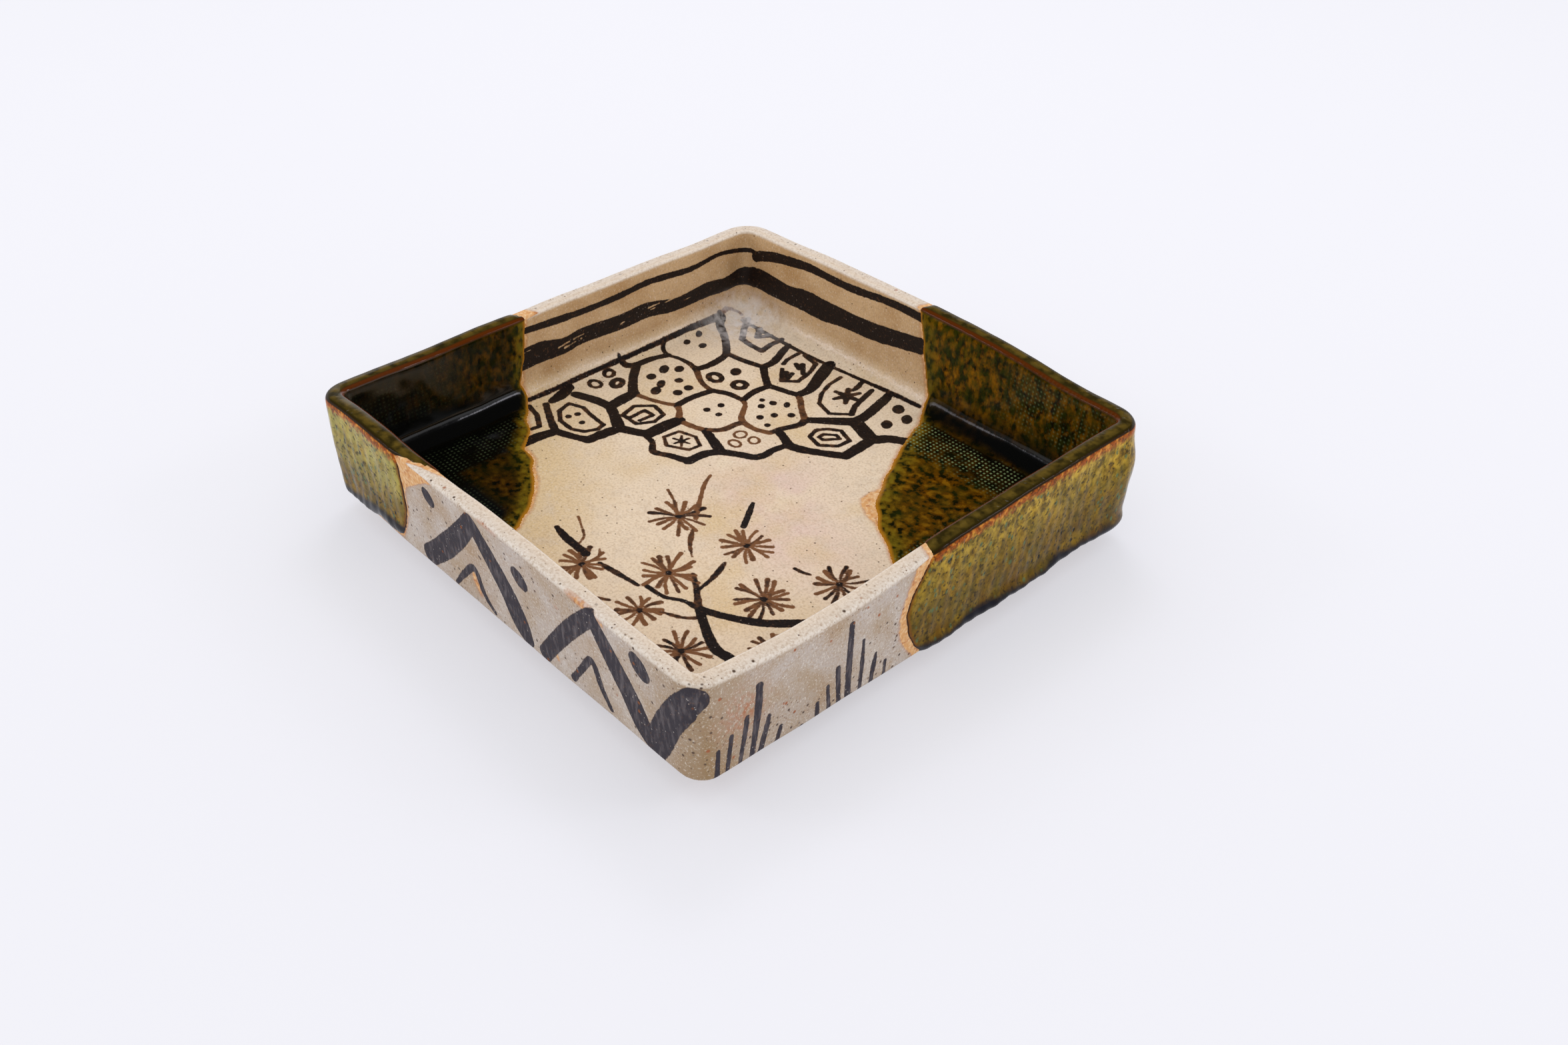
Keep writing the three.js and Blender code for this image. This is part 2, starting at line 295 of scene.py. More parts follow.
def true_section(points):
    """Makes the cove, the two arrises and the foot edge truly round again."""
    x, y, z = points.T
    ring = np.maximum(reach_of((x, y)), 1e-6)
    inset, slack = HALF - ring, 0.02
    cove_side, cove_top = WALL + COVE, FLOOR_TOP + COVE
    arris_top = RIM_TOP - ARRIS
    in_cove = ((inset < cove_side - slack) & (inset > WALL - slack)
               & (z < cove_top - slack) & (z > FLOOR_TOP - 1))
    in_outer = (inset < ARRIS) & (z > arris_top)
    in_inner = (inset > WALL - ARRIS) & (inset < WALL + 1) & (z > arris_top)
    in_foot = (inset < FOOT_EDGE) & (z < FOOT_TOP)
    inset, z = true_arc(inset, z, cove_side, cove_top, COVE, in_cove)
    inset, z = true_arc(inset, z, ARRIS, arris_top, ARRIS, in_outer)
    inset, z = true_arc(inset, z, WALL - ARRIS, arris_top, ARRIS, in_inner)
    inset, z = true_arc(inset, z, FOOT_EDGE, FOOT_TOP, FOOT_EDGE, in_foot)
    share = (HALF - inset) / ring
    return np.stack([x * share, y * share, z], 1)


def lay_out(points):
    """Rounds the corners and leans the walls. Gives the new places and how far each point lies along
    its wall, from the wall's middle and round the corner."""
    x, y, z = points.T
    ring = np.maximum(reach_of((x, y)), 1e-6)
    size = np.maximum(ring, FLOOR_EDGE)
    share = ring / size
    down = np.clip((RIM_TOP - z) / WALL_HEIGHT, 0, 1)
    lean_x, lean_y = by_wall(LEAN, x, y)
    reach_x = (size - lean_x * down) * share
    reach_y = (size - lean_y * down) * share
    right_corner = np.where(y > 0, CORNER["back_right"], CORNER["front_right"])
    left_corner = np.where(y > 0, CORNER["back_left"], CORNER["front_left"])
    radius = np.maximum(np.where(x > 0, right_corner, left_corner) - (HALF - size), TIGHTEST) * share
    side_wall = abs(x) > abs(y)
    flat_run = np.where(side_wall, reach_y, reach_x) - radius
    arc = radius * math.pi / 4
    walked = (1 - np.minimum(abs(x), abs(y)) / ring) * (flat_run + arc)
    bend = math.pi / 4 + np.clip(walked / radius, 0, math.pi / 4)
    along = flat_run + radius * np.cos(bend) - np.maximum(walked - arc, 0)
    out = np.where(side_wall, reach_x, reach_y) - radius + radius * np.sin(bend)
    new_x = np.where(side_wall, out, along) * np.sign(x)
    new_y = np.where(side_wall, along, out) * np.sign(y)
    walk = (flat_run + arc - walked) * np.sign(np.where(side_wall, y, x))
    return np.stack([new_x, new_y, z], 1), walk


# %% The potter's hand
SWELL = {"front": 1.2, "right": 1.6, "back": 2, "left": 0.6}
RIM_RISE = {"front": 1.2, "right": 1, "back": 2.4, "left": -1.6}
SAG = {"front": 0, "right": 2.6, "back": 0, "left": 0}
DIP, DIP_PLACE, DIP_LENGTH, DIP_OUTWARD = 4.8, -0.55, 0.5, 0.7
RIM_DRAWN = {"front_right": 2, "back_right": 1.2, "back_left": 0, "front_left": 0}
FOOT_DRAWN = {"front_right": (2, 2), "back_right": (-0.4, 8), "back_left": (0, 0), "front_left": (0, 0)}
RIM_LIFT = {"front_right": 0, "back_right": 0, "back_left": -1, "front_left": -1.8}
OUTWARD = {"front": (0, -1), "right": (1, 0), "back": (0, 1), "left": (-1, 0),
           "front_right": (1, -1), "back_right": (1, 1), "back_left": (-1, 1), "front_left": (-1, -1)}
EDGE_FADING = 12
RIM_WAVE = 0.35
SKIN = 0.16
SHRINK = 0.9972


def ripple(points, size, seed):
    """Smooth chance bumps, from about -1 to 1 and about this many millimetres across."""
    dice = np.random.default_rng(seed)
    total = np.zeros(len(points))
    waves = 16
    for _ in range(waves):
        direction = dice.normal(size=3)
        direction *= dice.uniform(0.6, 1.4) * math.pi / size / np.linalg.norm(direction)
        total += np.sin(points @ direction + dice.uniform(0, 2 * math.pi))
    return total / math.sqrt(waves)


def by_hand(points):
    """Walls swell, rims rise and wave, the right wall sags and its rim dips, and corners are drawn out
    and lifted."""
    x, y, z = points.T
    across, deep = x / HALF, y / HALF
    up = np.clip((z - FLOOR_TOP) / (RIM_TOP - FLOOR_TOP), 0, 1)
    climbed = np.clip((z - FOOT_HEIGHT) / WALL_HEIGHT, 0, 1)
    wave = RIM_WAVE * (np.sin(5.3 * across + 1.1) + np.sin(4.1 * deep - 7.7 * across))
    moved = np.zeros((3, len(x)))
    moved[2] = wave * up
    for wall in SWELL:
        out_x, out_y = OUTWARD[wall]
        reach = np.maximum(across * out_x + deep * out_y, 0)
        middle = 1 - (across * out_y + deep * out_x) ** 2
        moved[0] += SWELL[wall] * out_x * reach * middle
        moved[1] += SWELL[wall] * out_y * reach * middle
        moved[2] += RIM_RISE[wall] * reach * middle * up
        moved[2] -= SAG[wall] * reach ** EDGE_FADING * middle * (1 - climbed)
    dip = np.maximum(across, 0) ** 5 * np.exp(-((deep - DIP_PLACE) / DIP_LENGTH) ** 2) * (1 - deep ** 8)
    moved[0] += DIP_OUTWARD * dip * up
    moved[2] -= DIP * dip * up
    for corner in CORNER:
        out_x, out_y = OUTWARD[corner]
        near = (1 + across * out_x) * (1 + deep * out_y) / 4
        at_rim = RIM_DRAWN[corner] * near ** 2 * climbed
        foot_x, foot_y = FOOT_DRAWN[corner]
        moved[0] += out_x * (at_rim + foot_x * near ** 4 * (1 - climbed))
        moved[1] += out_y * (at_rim + foot_y * near ** 4 * (1 - climbed))
        moved[2] += RIM_LIFT[corner] * near ** 4 * up
    return points + moved.T


low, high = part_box("bowl_body")
shaped = by_hand(lay_out(places(slab.data))[0])
OFF_CENTRE = (shaped.min(0) + shaped.max(0)) / 2 - np.array((low + high) / 2) / MM
OFF_CENTRE[2] = 0


def bowl_places(laid):
    """Laid-out places to their final ones, with the skin of pressed clay."""
    made = (by_hand(laid) - OFF_CENTRE) * [SHRINK, SHRINK, 1]
    uneven = [ripple(made, size, seed) for size, seed in ((26, 1), (26, 2), (17, 3))]
    return made + SKIN * np.stack(uneven, 1)


print("the hand moves the middle by", OFF_CENTRE[:2].round(3))

# %% [markdown]
# ## Where the green reached
# Each green corner was dipped, so its edge is one wandering line over the floor, up the wall, over the
# rim and down outside. The line is given as a distance from the corner: by angle on the floor, and by
# height on the four faces of the walls. The same measure later thickens the green and rusts the clay.
# Lowest is how far down from the rim the coat ran outside, bead how wide its last drops are, and roll
# and fuller how much thicker it stands there and beside its corner. Weave tells how clearly it kept the
# print of the cloth, darkness how deep its floor looks, and paleness how much lighter it is outside.

# %% The edge of each green coat
GREEN = {
    "front_left": {
        "corner": (-1, -1),
        "floor": [89, 79, 73.5, 77, 81.5, 82.5, 78],
        "side_wall": {"rim_inside": 88, "rim_outside": 85, "swell": 3, "foot": 80},
        "end_wall": {"rim_inside": 74, "rim_outside": 54, "swell": 4, "foot": 49},
        "lowest": [(0, 42.8), (25, 42), (34, 40.4), (48, 38.4), (62, 39.4), (110, 40)],
        "roll": 0.45,
        "bead": 7.5,
        "weave": 0.14,
        "paleness": 0.75,
        "fuller": 0.8,
        "darkness": 0.7,
        "bare_beside": {"floor": [(0, 0.6), (20, 0.4), (45, 1.2), (70, 0.3), (90, 0.8)],
                        "inside": 0.8, "rim": 6,
                        "side_wall": [(10, 2), (52, 2)],
                        "end_wall": [(10, 0.5), (37, 0.5), (40, 2), (44, 8), (48, 15), (51, 22)]},
    },
    "back_right": {
        "corner": (1, 1),
        "floor": [102, 98, 95.5, 93, 88, 89, 99],
        "side_wall": {"rim_inside": 110, "rim_outside": 112, "swell": 9, "foot": 113},
        "end_wall": {"rim_inside": 105, "rim_outside": 103, "swell": 3, "foot": 99},
        "lowest": [(0, 43.2), (60, 42.8), (110, 42.2)],
        "roll": 1.4,
        "bead": 5.6,
        "weave": 0.85,
        "paleness": 0.0,
        "fuller": 2.8,
        "darkness": 0.0,
        "bare_beside": {"floor": [(0, 1.6), (9, 2.6), (13, 0.3), (33, 0.3), (37, 4), (43, 5), (47, 0.4),
                                  (90, 0.3)],
                        "inside": 0.6, "rim": 1.8,
                        "side_wall": [(10, 3.2), (16, 4.2), (28, 2.6), (41, 3), (46, 5), (51, 6.2)],
                        "end_wall": [(10, 2), (52, 4)]},
    },
}


def blend(low_value, high_value, share):
    return low_value + (high_value - low_value) * np.clip(share, 0, 1)


def smooth(edge_low, edge_high, value):
    share = np.clip((value - edge_low) / (edge_high - edge_low), 0, 1)
    return share * share * (3 - 2 * share)


def least(first, second, soft):
    """The smaller of two distances, rounded where they cross."""
    mixing = np.clip(0.5 + (second - first) / (2 * soft), 0, 1)
    return first * mixing + second * (1 - mixing) - soft * mixing * (1 - mixing)


def floor_reach(coat, angle):
    radii = coat["floor"]
    return np.interp(angle, np.linspace(0, math.pi / 2, len(radii)), radii)


def fall(inset, z):
    """How far down the outside a point lies, from the rim and round the foot edge."""
    angle = np.arcsin(np.clip((FOOT_TOP - z) / FOOT_EDGE, 0, 1))
    fallen = np.where(z > FOOT_TOP, RIM_TOP - z, RIM_TOP - FOOT_TOP + FOOT_EDGE * angle)
    return fallen + np.where(z < FOOT_HEIGHT + 0.05, np.maximum(inset - FOOT_EDGE, 0), 0)


def green_depth(coat, square, laid, walk):
    """How many millimetres inside the green each point lies, negative outside it. Also gives the
    distance up from the lowest line that it ran to."""
    sign_x, sign_y = coat["corner"]
    x, y, z = square.T
    inset = HALF - reach_of((x, y))
    inside = inset > WALL / 2
    side_wall = abs(x) > abs(y)
    own_wall = np.where(side_wall, sign_x * x, sign_y * y) > 0
    from_corner = HALF - np.where(side_wall, sign_y, sign_x) * walk
    result = np.full(len(x), -60.0)
    up = (z - FLOOR_TOP) / (RIM_TOP - FLOOR_TOP)
    down = (RIM_TOP - z) / (WALL_HEIGHT - FOOT_EDGE)
    for this_wall, name, sign in ((side_wall, "side_wall", 1), (~side_wall, "end_wall", -1)):
        side = coat[name]
        angle = 0.0
        for _ in range(6):
            radius = float(floor_reach(coat, angle if sign > 0 else math.pi / 2 - angle))
            angle = math.asin((WALL + COVE) / radius)
        crease = radius * math.cos(angle)
        reach_in = blend(crease, side["rim_inside"], up)
        belly = side["swell"] * np.sin(math.pi * np.clip(down, 0, 1))
        reach_out = blend(side["rim_outside"], side["foot"], down) + belly
        over = np.clip(1 - inset / WALL, 0, 1)
        reach_rim = blend(side["rim_inside"], side["rim_outside"], over)
        at_rim = z > RIM_TOP - ARRIS
        reach = np.where(at_rim, reach_rim, np.where(inside, reach_in, reach_out))
        result = np.where(this_wall & own_wall, reach - from_corner, result)
    gap_x = HALF - sign_x * laid[:, 0]
    gap_y = HALF - sign_y * laid[:, 1]
    on_floor = floor_reach(coat, np.arctan2(gap_x, gap_y)) - np.hypot(gap_x, gap_y)
    low_part = inside & (z < FLOOR_TOP + COVE) & (inset > WALL - 0.1)
    share = smooth(FLOOR_TOP, FLOOR_TOP + COVE, z)
    result = np.where(low_part, on_floor * (1 - share) + result * share, result)
    result = result + 0.6 * ripple(laid, 10, 11) + 0.2 * ripple(laid, 3.5, 12)
    above_end = np.interp(from_corner, *zip(*coat["lowest"])) + 0.7 * ripple(laid, 8, 13) - fall(inset, z)
    outside = ~inside & (z < RIM_TOP - ARRIS)
    result = np.where(outside, least(result, above_end, 5.0), result)
    result = np.where(inside & (z < FOOT_HEIGHT + 0.1), -60, result)
    return result, np.where(outside, above_end, 60)


def bare_depth(coat, square, depth):
    """How far inside the bare strip beside the green each point lies. There the clay flashed orange."""
    x, y, z = square.T
    inset = HALF - reach_of((x, y))
    beside = coat["bare_beside"]
    walls = {name: np.interp(z, *zip(*beside[name])) for name in ("side_wall", "end_wall")}
    on_wall = np.where(abs(x) > abs(y), walls["side_wall"], walls["end_wall"])
    width = np.where(inset > WALL / 2, beside["inside"], on_wall)
    width = np.where(z > RIM_TOP - 0.6, beside["rim"], width)
    sign_x, sign_y = coat["corner"]
    angle = np.degrees(np.arctan2(HALF - sign_x * x, HALF - sign_y * y))
    on_floor = np.interp(angle, *zip(*beside["floor"]))
    width = np.where((inset > WALL + COVE / 2) & (z > FOOT_HEIGHT + 1), on_floor, width)
    return np.clip(depth + width, -6, 6)


def from_arris(square):
    """The distance to the nearer of the rim's two edges."""
    inset, z = HALF - reach_of(square.T), square[:, 2]
    drop = z - RIM_TOP + ARRIS * 0.3
    return np.minimum(np.hypot(inset - ARRIS * 0.3, drop), np.hypot(inset - WALL + ARRIS * 0.3, drop))


def from_cove(square):
    """The distance along the section from the line where the floor starts to turn up."""
    inset, z = HALF - reach_of(square.T), square[:, 2]
    turned = np.arctan2(WALL + COVE - inset, FLOOR_TOP + COVE - z)
    around = COVE * np.clip(turned, 0, math.pi / 2)
    return np.where(inset > WALL + COVE, WALL + COVE - inset, around + np.maximum(z - FLOOR_TOP - COVE, 0))


# %% [markdown]
# ## The brushwork
# The potter painted with iron, in plain traditional motifs: stripes under the rim, a band of
# tortoiseshell cells, sprigs of pine, and outside a zigzag and tufts of grass. Every stroke is a few
# points given in millimetres, each with the brush's width there, joined by a smooth curve.
# On the walls they are measured round the corner, so the next wall's middle lies one turn further on.
# The distance from each vertex to the nearest stroke is written on the clay, and the material turns
# it into paint with a ragged edge.

# %% Strokes
FLOOR_PAINT, INNER_PAINT, OUTER_PAINT, SKIPS = [], [], [], []
hand = np.random.default_rng(5)


def curve_through(points, per_step=6):
    """A smooth line through a few points: places and brush widths."""
    points = np.asarray(points, float)
    if len(points) < 3:
        share = np.linspace(0, 1, per_step + 1)[:, None]
        return points[0] * (1 - share) + points[-1] * share
    ends = np.vstack([2 * points[0] - points[1], points, 2 * points[-1] - points[-2]])
    line = []
    for i in range(len(points) - 1):
        before, start, stop, after = ends[i:i + 4]
        for share in np.arange(per_step) / per_step:
            line.append(0.5 * (2 * start + (stop - before) * share
                               + (2 * before - 5 * start + 4 * stop - after) * share ** 2
                               + (3 * start - before - 3 * stop + after) * share ** 3))
    line.append(points[-1])
    return np.array(line)


def stroke(sheet, load, *points, closed=False):
    """One brush stroke: points are (along, up, width). Load is from 0, thin brown, to 1, full black."""
    points = list(points) + ([points[0]] if closed else [])
    line = curve_through(points)
    line[:, 2] += 0.12 * hand.normal(size=len(line))
    sheet.append((line, load))


def straight(sheet, load, width, *points, closed=False):
    """A stroke of one width with corners, as in the small cells."""
    points = list(points) + ([points[0]] if closed else [])
    for (x0, y0), (x1, y1) in zip(points, points[1:]):
        stroke(sheet, load, (x0, y0, width), (x1, y1, width * 0.9))


def dot(sheet, load, x, y, width, long=0.0, angle=-50.0):
    """A touch of the brush, drawn out along its angle."""
    dx, dy = (0.5 * long * f(math.radians(angle)) for f in (math.cos, math.sin))
    stroke(sheet, load, (x - dx, y - dy, width * 0.8), (x, y, width), (x + dx, y + dy, width * 0.8))


def loop(sheet, load, width, x, y, wide, tall, angle=0.0):
    """A small ring."""
    turned = math.radians(angle)
    points = []
    for step in range(7):
        phase = 2 * math.pi * step / 7
        a, b = wide * math.cos(phase), tall * math.sin(phase)
        points.append((x + a * math.cos(turned) - b * math.sin(turned),
                       y + a * math.sin(turned) + b * math.cos(turned), width))
    stroke(sheet, load, *points, closed=True)


# %% The tortoiseshell band
CELL_BRUSH = 1.12
CELL_LINES = [
    (0.9, (-94, 80, 3.6), (-91, 76.5, 3.4), (-84, 72.5, 3), (-77, 67.5, 3), (-70.5, 62, 3)),
    (0.8, (-70.5, 62, 2.6), (-62, 63.5, 2.8), (-53, 66.5, 2.8)),
    (0.9, (-53, 66.5, 3), (-53.5, 73, 3.4), (-57.5, 82, 3), (-59, 86, 2.4)),
    (0.9, (-53, 66.5, 2.8), (-47, 62, 2.8), (-41, 58, 3)),
    (0.9, (-41, 58, 3), (-33, 60.5, 3), (-28, 62.5, 3)),
    (1.0, (-28, 62.5, 3.4), (-28, 69, 4), (-32, 78, 5), (-36, 87, 5)),
    (0.5, (-28, 62.5, 2.4), (-24, 60, 2.4), (-19, 56, 2.4), (-13, 52, 2.8)),
    (1.0, (-13, 52, 3.4), (-7, 58, 4.4), (1, 66, 5)),
    (1.0, (1, 66, 4.6), (0.5, 73, 4), (-2, 83, 4), (-3.5, 88.5, 3.6)),
    (1.0, (1, 66, 5.4), (7, 64, 5.6), (14, 62.5, 5.4), (18, 67, 4.6), (24.5, 71, 4.6)),
    (1.0, (14, 62.5, 4), (14.5, 55, 4.6), (15, 46.5, 4.2)),
    (0.9, (15, 46.5, 4), (8, 41.5, 3.6), (1, 37, 4), (-4, 35, 4)),
    (0.9, (-4, 35, 3.6), (-9, 37, 3.4), (-13.5, 38.5, 3)),
    (0.8, (-13, 52, 3.2), (-12, 48, 3), (-14.5, 41, 2.8), (-15.5, 36, 2.4)),
    (0.4, (-15.5, 35.5, 2.4), (-21, 33, 2.4), (-27, 32.5, 2.6)),
    (0.4, (-27, 32.5, 2.4), (-31, 34.5, 2.2), (-36, 41, 1.8), (-39.5, 43, 2)),
    (0.9, (-39.5, 43, 2.4), (-41, 50, 3), (-40.5, 57, 3)),
    (0.8, (-39.5, 43, 2.2), (-47, 42, 2.8), (-53, 39, 3)),
    (0.6, (-53, 38.5, 2.4), (-61, 40, 2), (-70, 45, 2.6)),
    (0.9, (-70, 45, 3), (-68.5, 51, 3.2), (-69, 58, 3), (-70.5, 62, 3)),
    (0.8, (-70, 45, 2.8), (-76, 45.8, 2), (-82, 45, 1.8), (-86, 43.5, 2), (-91, 45, 1.8),
     (-94.5, 48.5, 1.4)),
    (0.9, (-86, 43.5, 2.8), (-88, 37, 3), (-88.5, 29, 3)),
    (0.9, (-88.5, 29, 3.4), (-82, 22, 3.4), (-75, 16, 3.6), (-72, 14, 4)),
    (0.8, (-88.5, 28, 3), (-91, 25, 3), (-95, 25, 1.6)),
    (0.5, (-72, 14, 2.2), (-64, 16, 2), (-57, 19, 2), (-54, 21, 2.4)),
    (0.9, (-54, 21, 3), (-54.5, 29, 3), (-53.5, 38, 3)),
    (0.4, (-54, 21, 2.4), (-50, 19, 2.2), (-45, 14.5, 2.8)),
    (0.4, (-45, 14.5, 2.6), (-38, 16, 2.4), (-33, 18, 2.4)),
    (0.6, (-33, 18, 2.4), (-29, 23, 2.6), (-28.5, 29, 2.6), (-28, 32.5, 2.8)),
    (0.9, (-33, 18, 3), (-25, 15.5, 3.6), (-18, 13, 3.8)),
    (0.9, (-18, 13, 3.8), (-12, 17, 3.4), (-7, 20, 3.4), (-5.6, 24, 3.2), (-6, 28, 3), (-5, 35, 2.8)),
    (1.0, (-45, 14.5, 4.8), (-45.5, 8, 5.6), (-45.5, 0, 5.2)),
    (1.0, (-18, 13, 3.6), (-21, 8, 3.8), (-21.5, 0, 4)),
    (0.8, (-21.5, 0, 3.6), (-29, -3, 3), (-35, -6, 2.8), (-40, -2.5, 2.2), (-45, -1.5, 2.4)),
    (1.0, (-45.5, 0, 4.4), (-50, -3, 4), (-56, -6, 4.4)),
    (1.0, (-72, 14, 4.4), (-71.5, 8, 5), (-70.5, 1, 4.6)),
    (1.0, (-70.5, 1, 4), (-64, -2, 3.8), (-56, -6, 4.6)),
    (1.0, (-70.5, 1, 4), (-78, -0.5, 4), (-86.5, -4, 3.8)),
    (1.0, (-56, -6, 4.6), (-57, -13, 4.6), (-57.5, -20, 4.2)),
    (0.9, (-57.5, -20, 3.8), (-63, -23, 3.4), (-70, -26, 3.8)),
    (0.8, (-70, -26, 3), (-77, -23, 2.8), (-82, -20.5, 2.6), (-88, -17.5, 2.4)),
    (1.0, (-70, -26, 4), (-71.5, -33, 4.8), (-72, -41, 5)),
    (1.0, (-91.5, -3, 3), (-89.5, -9, 4.4), (-88.5, -14, 3)),
]
for load, *points in CELL_LINES:
    stroke(FLOOR_PAINT, load, *[(x, y, CELL_BRUSH * width) for x, y, width in points])

BORDER = [
    (0.85, (-93.2, -22, 1.6), (-93.4, -3, 1.9), (-93.7, 20, 1.8), (-94, 49, 1.9), (-94.2, 66, 2.2),
     (-94, 79, 2.8)),
    (0.35, (-94, 79, 1.6), (-95.4, 84.5, 1.2), (-92.6, 88.6, 1.2), (-88, 87.6, 1.4)),
    (0.85, (-88, 86.5, 1.6), (-77, 86.2, 2), (-58.8, 86, 2), (-37.7, 87, 1.6), (-23.5, 88.3, 1.6),
     (-6, 89.7, 1.6), (11.6, 90.6, 1.4)),
]
for load, *points in BORDER:
    stroke(FLOOR_PAINT, load, *points)

# %% What is drawn inside the cells
DOTS = [
    (-90.3, 64.2, 2.6, 2.6), (-82, 59, 3.3, 1.4), (-88.5, 56, 3, 1.6),
    (-74.8, 40, 4, 2), (-78.6, 35.2, 4, 3.4), (-68, 34, 3.3, 1.4), (-61, 33, 3.8, 1),
    (-77.5, 27.6, 4, 1.8), (-70.5, 26.8, 3.4, 3.6), (-61, 27.4, 4, 1), (-67.8, 21.8, 4.2, 2.4),
    (-57.5, 55.4, 4.6, 2), (-42.5, 34, 2.8, 1), (-38, 29, 2.6, 0.4), (-43.6, 27.6, 2.9, 0.8),
    (-30, 50.6, 3, 0.8), (-25.5, 54, 2.6, 2), (-19, 50.2, 3, 0.6), (-34.4, 48.8, 2.3, 0.4),
    (-31.5, 45.6, 2.8, 0.9), (-23.5, 45.2, 3, 0.7), (-26.2, 40, 2.8, 0.8), (-20.2, 38.4, 2.6, 0.5),
    (5.8, 84.6, 4.8, 2.6), (13, 82, 4.4, 3), (10.4, 73.6, 4.4, 2.4),
    (-74.5, -12, 2.6, 0.8), (-68.6, -14.4, 2.6, 0.4), (-75.4, -15.8, 2.6, 0.6),
]
for x, y, width, long in DOTS:
    dot(FLOOR_PAINT, 0.85, x, y, width, long)

loop(FLOOR_PAINT, 0.8, 2.4, -60, 46.4, 3.3, 2.4, -10)
loop(FLOOR_PAINT, 0.8, 2.6, -49, 49.8, 2.8, 2.6)
loop(FLOOR_PAINT, 0.8, 1.8, -90, 15.8, 2, 2.4, 30)
loop(FLOOR_PAINT, 0.8, 2.6, -82.4, 14, 2, 3, 35)
loop(FLOOR_PAINT, 0.8, 1.7, -87.4, 6.6, 2.8, 2.3)
THIN_RINGS = [(-22, 26.2, 2.3, 2.5, 0), (-15.6, 27.4, 2.4, 2.0, -30), (-18.8, 20.6, 2.7, 1.9, 0)]
for x, y, wide, tall, angle in THIN_RINGS:
    loop(FLOOR_PAINT, 0.45, 1.1, x, y, wide, tall, angle)

HEXAGONS = [
    (0.8, 2.5, [(-86.5, 88), (-82, 82), (-76, 75.6), (-70, 74.6), (-63, 74.6), (-64.5, 81), (-64.5, 87)],
     False),
    (0.8, 2.5, [(-77.5, 86.5), (-73, 81.5), (-70, 86)], False),
    (0.8, 1.8, [(-51.5, 84.5), (-51, 78), (-49.5, 74.5)], False),
    (0.8, 1.9, [(-48.5, 85.5), (-40.5, 84), (-37.5, 78), (-35.6, 69.5), (-40, 64.8), (-47, 71.4)], False),
    (0.9, 1.9, [(-46, 78.2), (-42.5, 76.6), (-44, 80), (-38.5, 75)], False),
    (0.9, 1.9, [(-44, 71), (-39.8, 67.2), (-41.6, 71.8)], False),
    (0.8, 1.6, [(-26.5, 84.5), (-25.5, 77), (-22.5, 70), (-18, 64.6), (-10, 62.4), (-3.8, 68.5)], False),
    (0.9, 2.2, [(-3.8, 68.5), (-7, 73.5), (-9, 80), (-11, 86.5)], False),
    (0.8, 1.9, [(-90.5, -23.5), (-84, -24.6), (-77, -28.6), (-77.5, -32)], False),
    (0.8, 1.7, [(-83, -10), (-77, -7.4), (-71, -8.4), (-62, -9.2), (-61, -12.6), (-63, -17.6),
                (-67.5, -20.4), (-75, -20), (-81, -16)], True),
    (0.8, 1.7, [(-59.5, 14.2), (-52.2, 12.8), (-50.6, 7), (-54, 0.8), (-62.4, 0.8), (-64.6, 8.2)], True),
    (0.8, 1.6, [(-59, 1.4), (-59.5, 9.2), (-54.6, 9.6), (-55, 3.2)], False),
    (0.7, 1.4, [(-32, 12.4), (-26.6, 10), (-27.2, 5), (-35, 0.4), (-40, 3.2), (-39, 10)], True),
    (0.8, 1.7, [(1.6, 57.4), (8.8, 55), (8.4, 49), (3, 43.8), (-3.4, 45.2), (-5, 50.2), (-2.8, 54)], True),
    (0.8, 1.5, [(2.6, 53.8), (5.4, 53), (1.6, 47.6), (-0.8, 47.6), (-1, 50.4)], True),
]
for load, width, points, closed in HEXAGONS:
    straight(FLOOR_PAINT, load, 1.2 * width, *points, closed=closed)


def star(x, y, size, width, arms, first):
    """Short strokes crossing at a point."""
    for arm in range(arms):
        angle = math.radians(first + 180 * arm / arms)
        dx, dy = size * math.cos(angle), size * math.sin(angle)
        thin = width * 0.7
        stroke(FLOOR_PAINT, 0.8, (x - dx, y - dy, thin), (x, y, width), (x + dx, y + dy, thin))


star(-33.5, 6.6, 3.4, 1.4, 3, 20)
star(-14.6, 76.4, 5.4, 2.9, 3, 10)
stroke(FLOOR_PAINT, 0.9, (-18, 88, 1.8), (-16.6, 84, 2.6), (-16, 81, 1.6))
print("floor strokes:", len(FLOOR_PAINT))

# %% Sprigs of pine
TUFTS = [
    (3, -25, 11, 15), (31.5, -18.5, 9.5, 15), (68, -8.5, 10, 14), (25, -48.5, 11, 16),
    (57, -33.5, 10.5, 16), (2, -68, 9.5, 15), (34, -68.5, 8.5, 13), (59, -71, 10, 14), (77.5, -49, 9, 13),
]
for number, (x, y, size, needles) in enumerate(TUFTS):
    brown = 0.2 if number in (1, 3, 5, 6) else 0.4
    for needle in range(needles):
        angle = 2 * math.pi * (needle + 0.3 * hand.uniform(-1, 1)) / needles
        length = size * hand.uniform(0.75, 1.05)
        dx, dy = math.cos(angle), math.sin(angle)
        bow = hand.uniform(-0.08, 0.08) * length
        tip = hand.uniform(1.3, 2.1)
        load = np.clip(brown + hand.uniform(-0.2, 0.35), 0, 1)
        stroke(FLOOR_PAINT, load,
               (x + dx * 0.12 * length, y + dy * 0.12 * length, 0.8),
               (x + dx * length * 0.55 - dy * bow, y + dy * length * 0.55 + dx * bow, 0.5 + 0.5 * tip),
               (x + dx * length, y + dy * length, tip))
    dot(FLOOR_PAINT, 0.9, x, y, 2.6, 0.8)

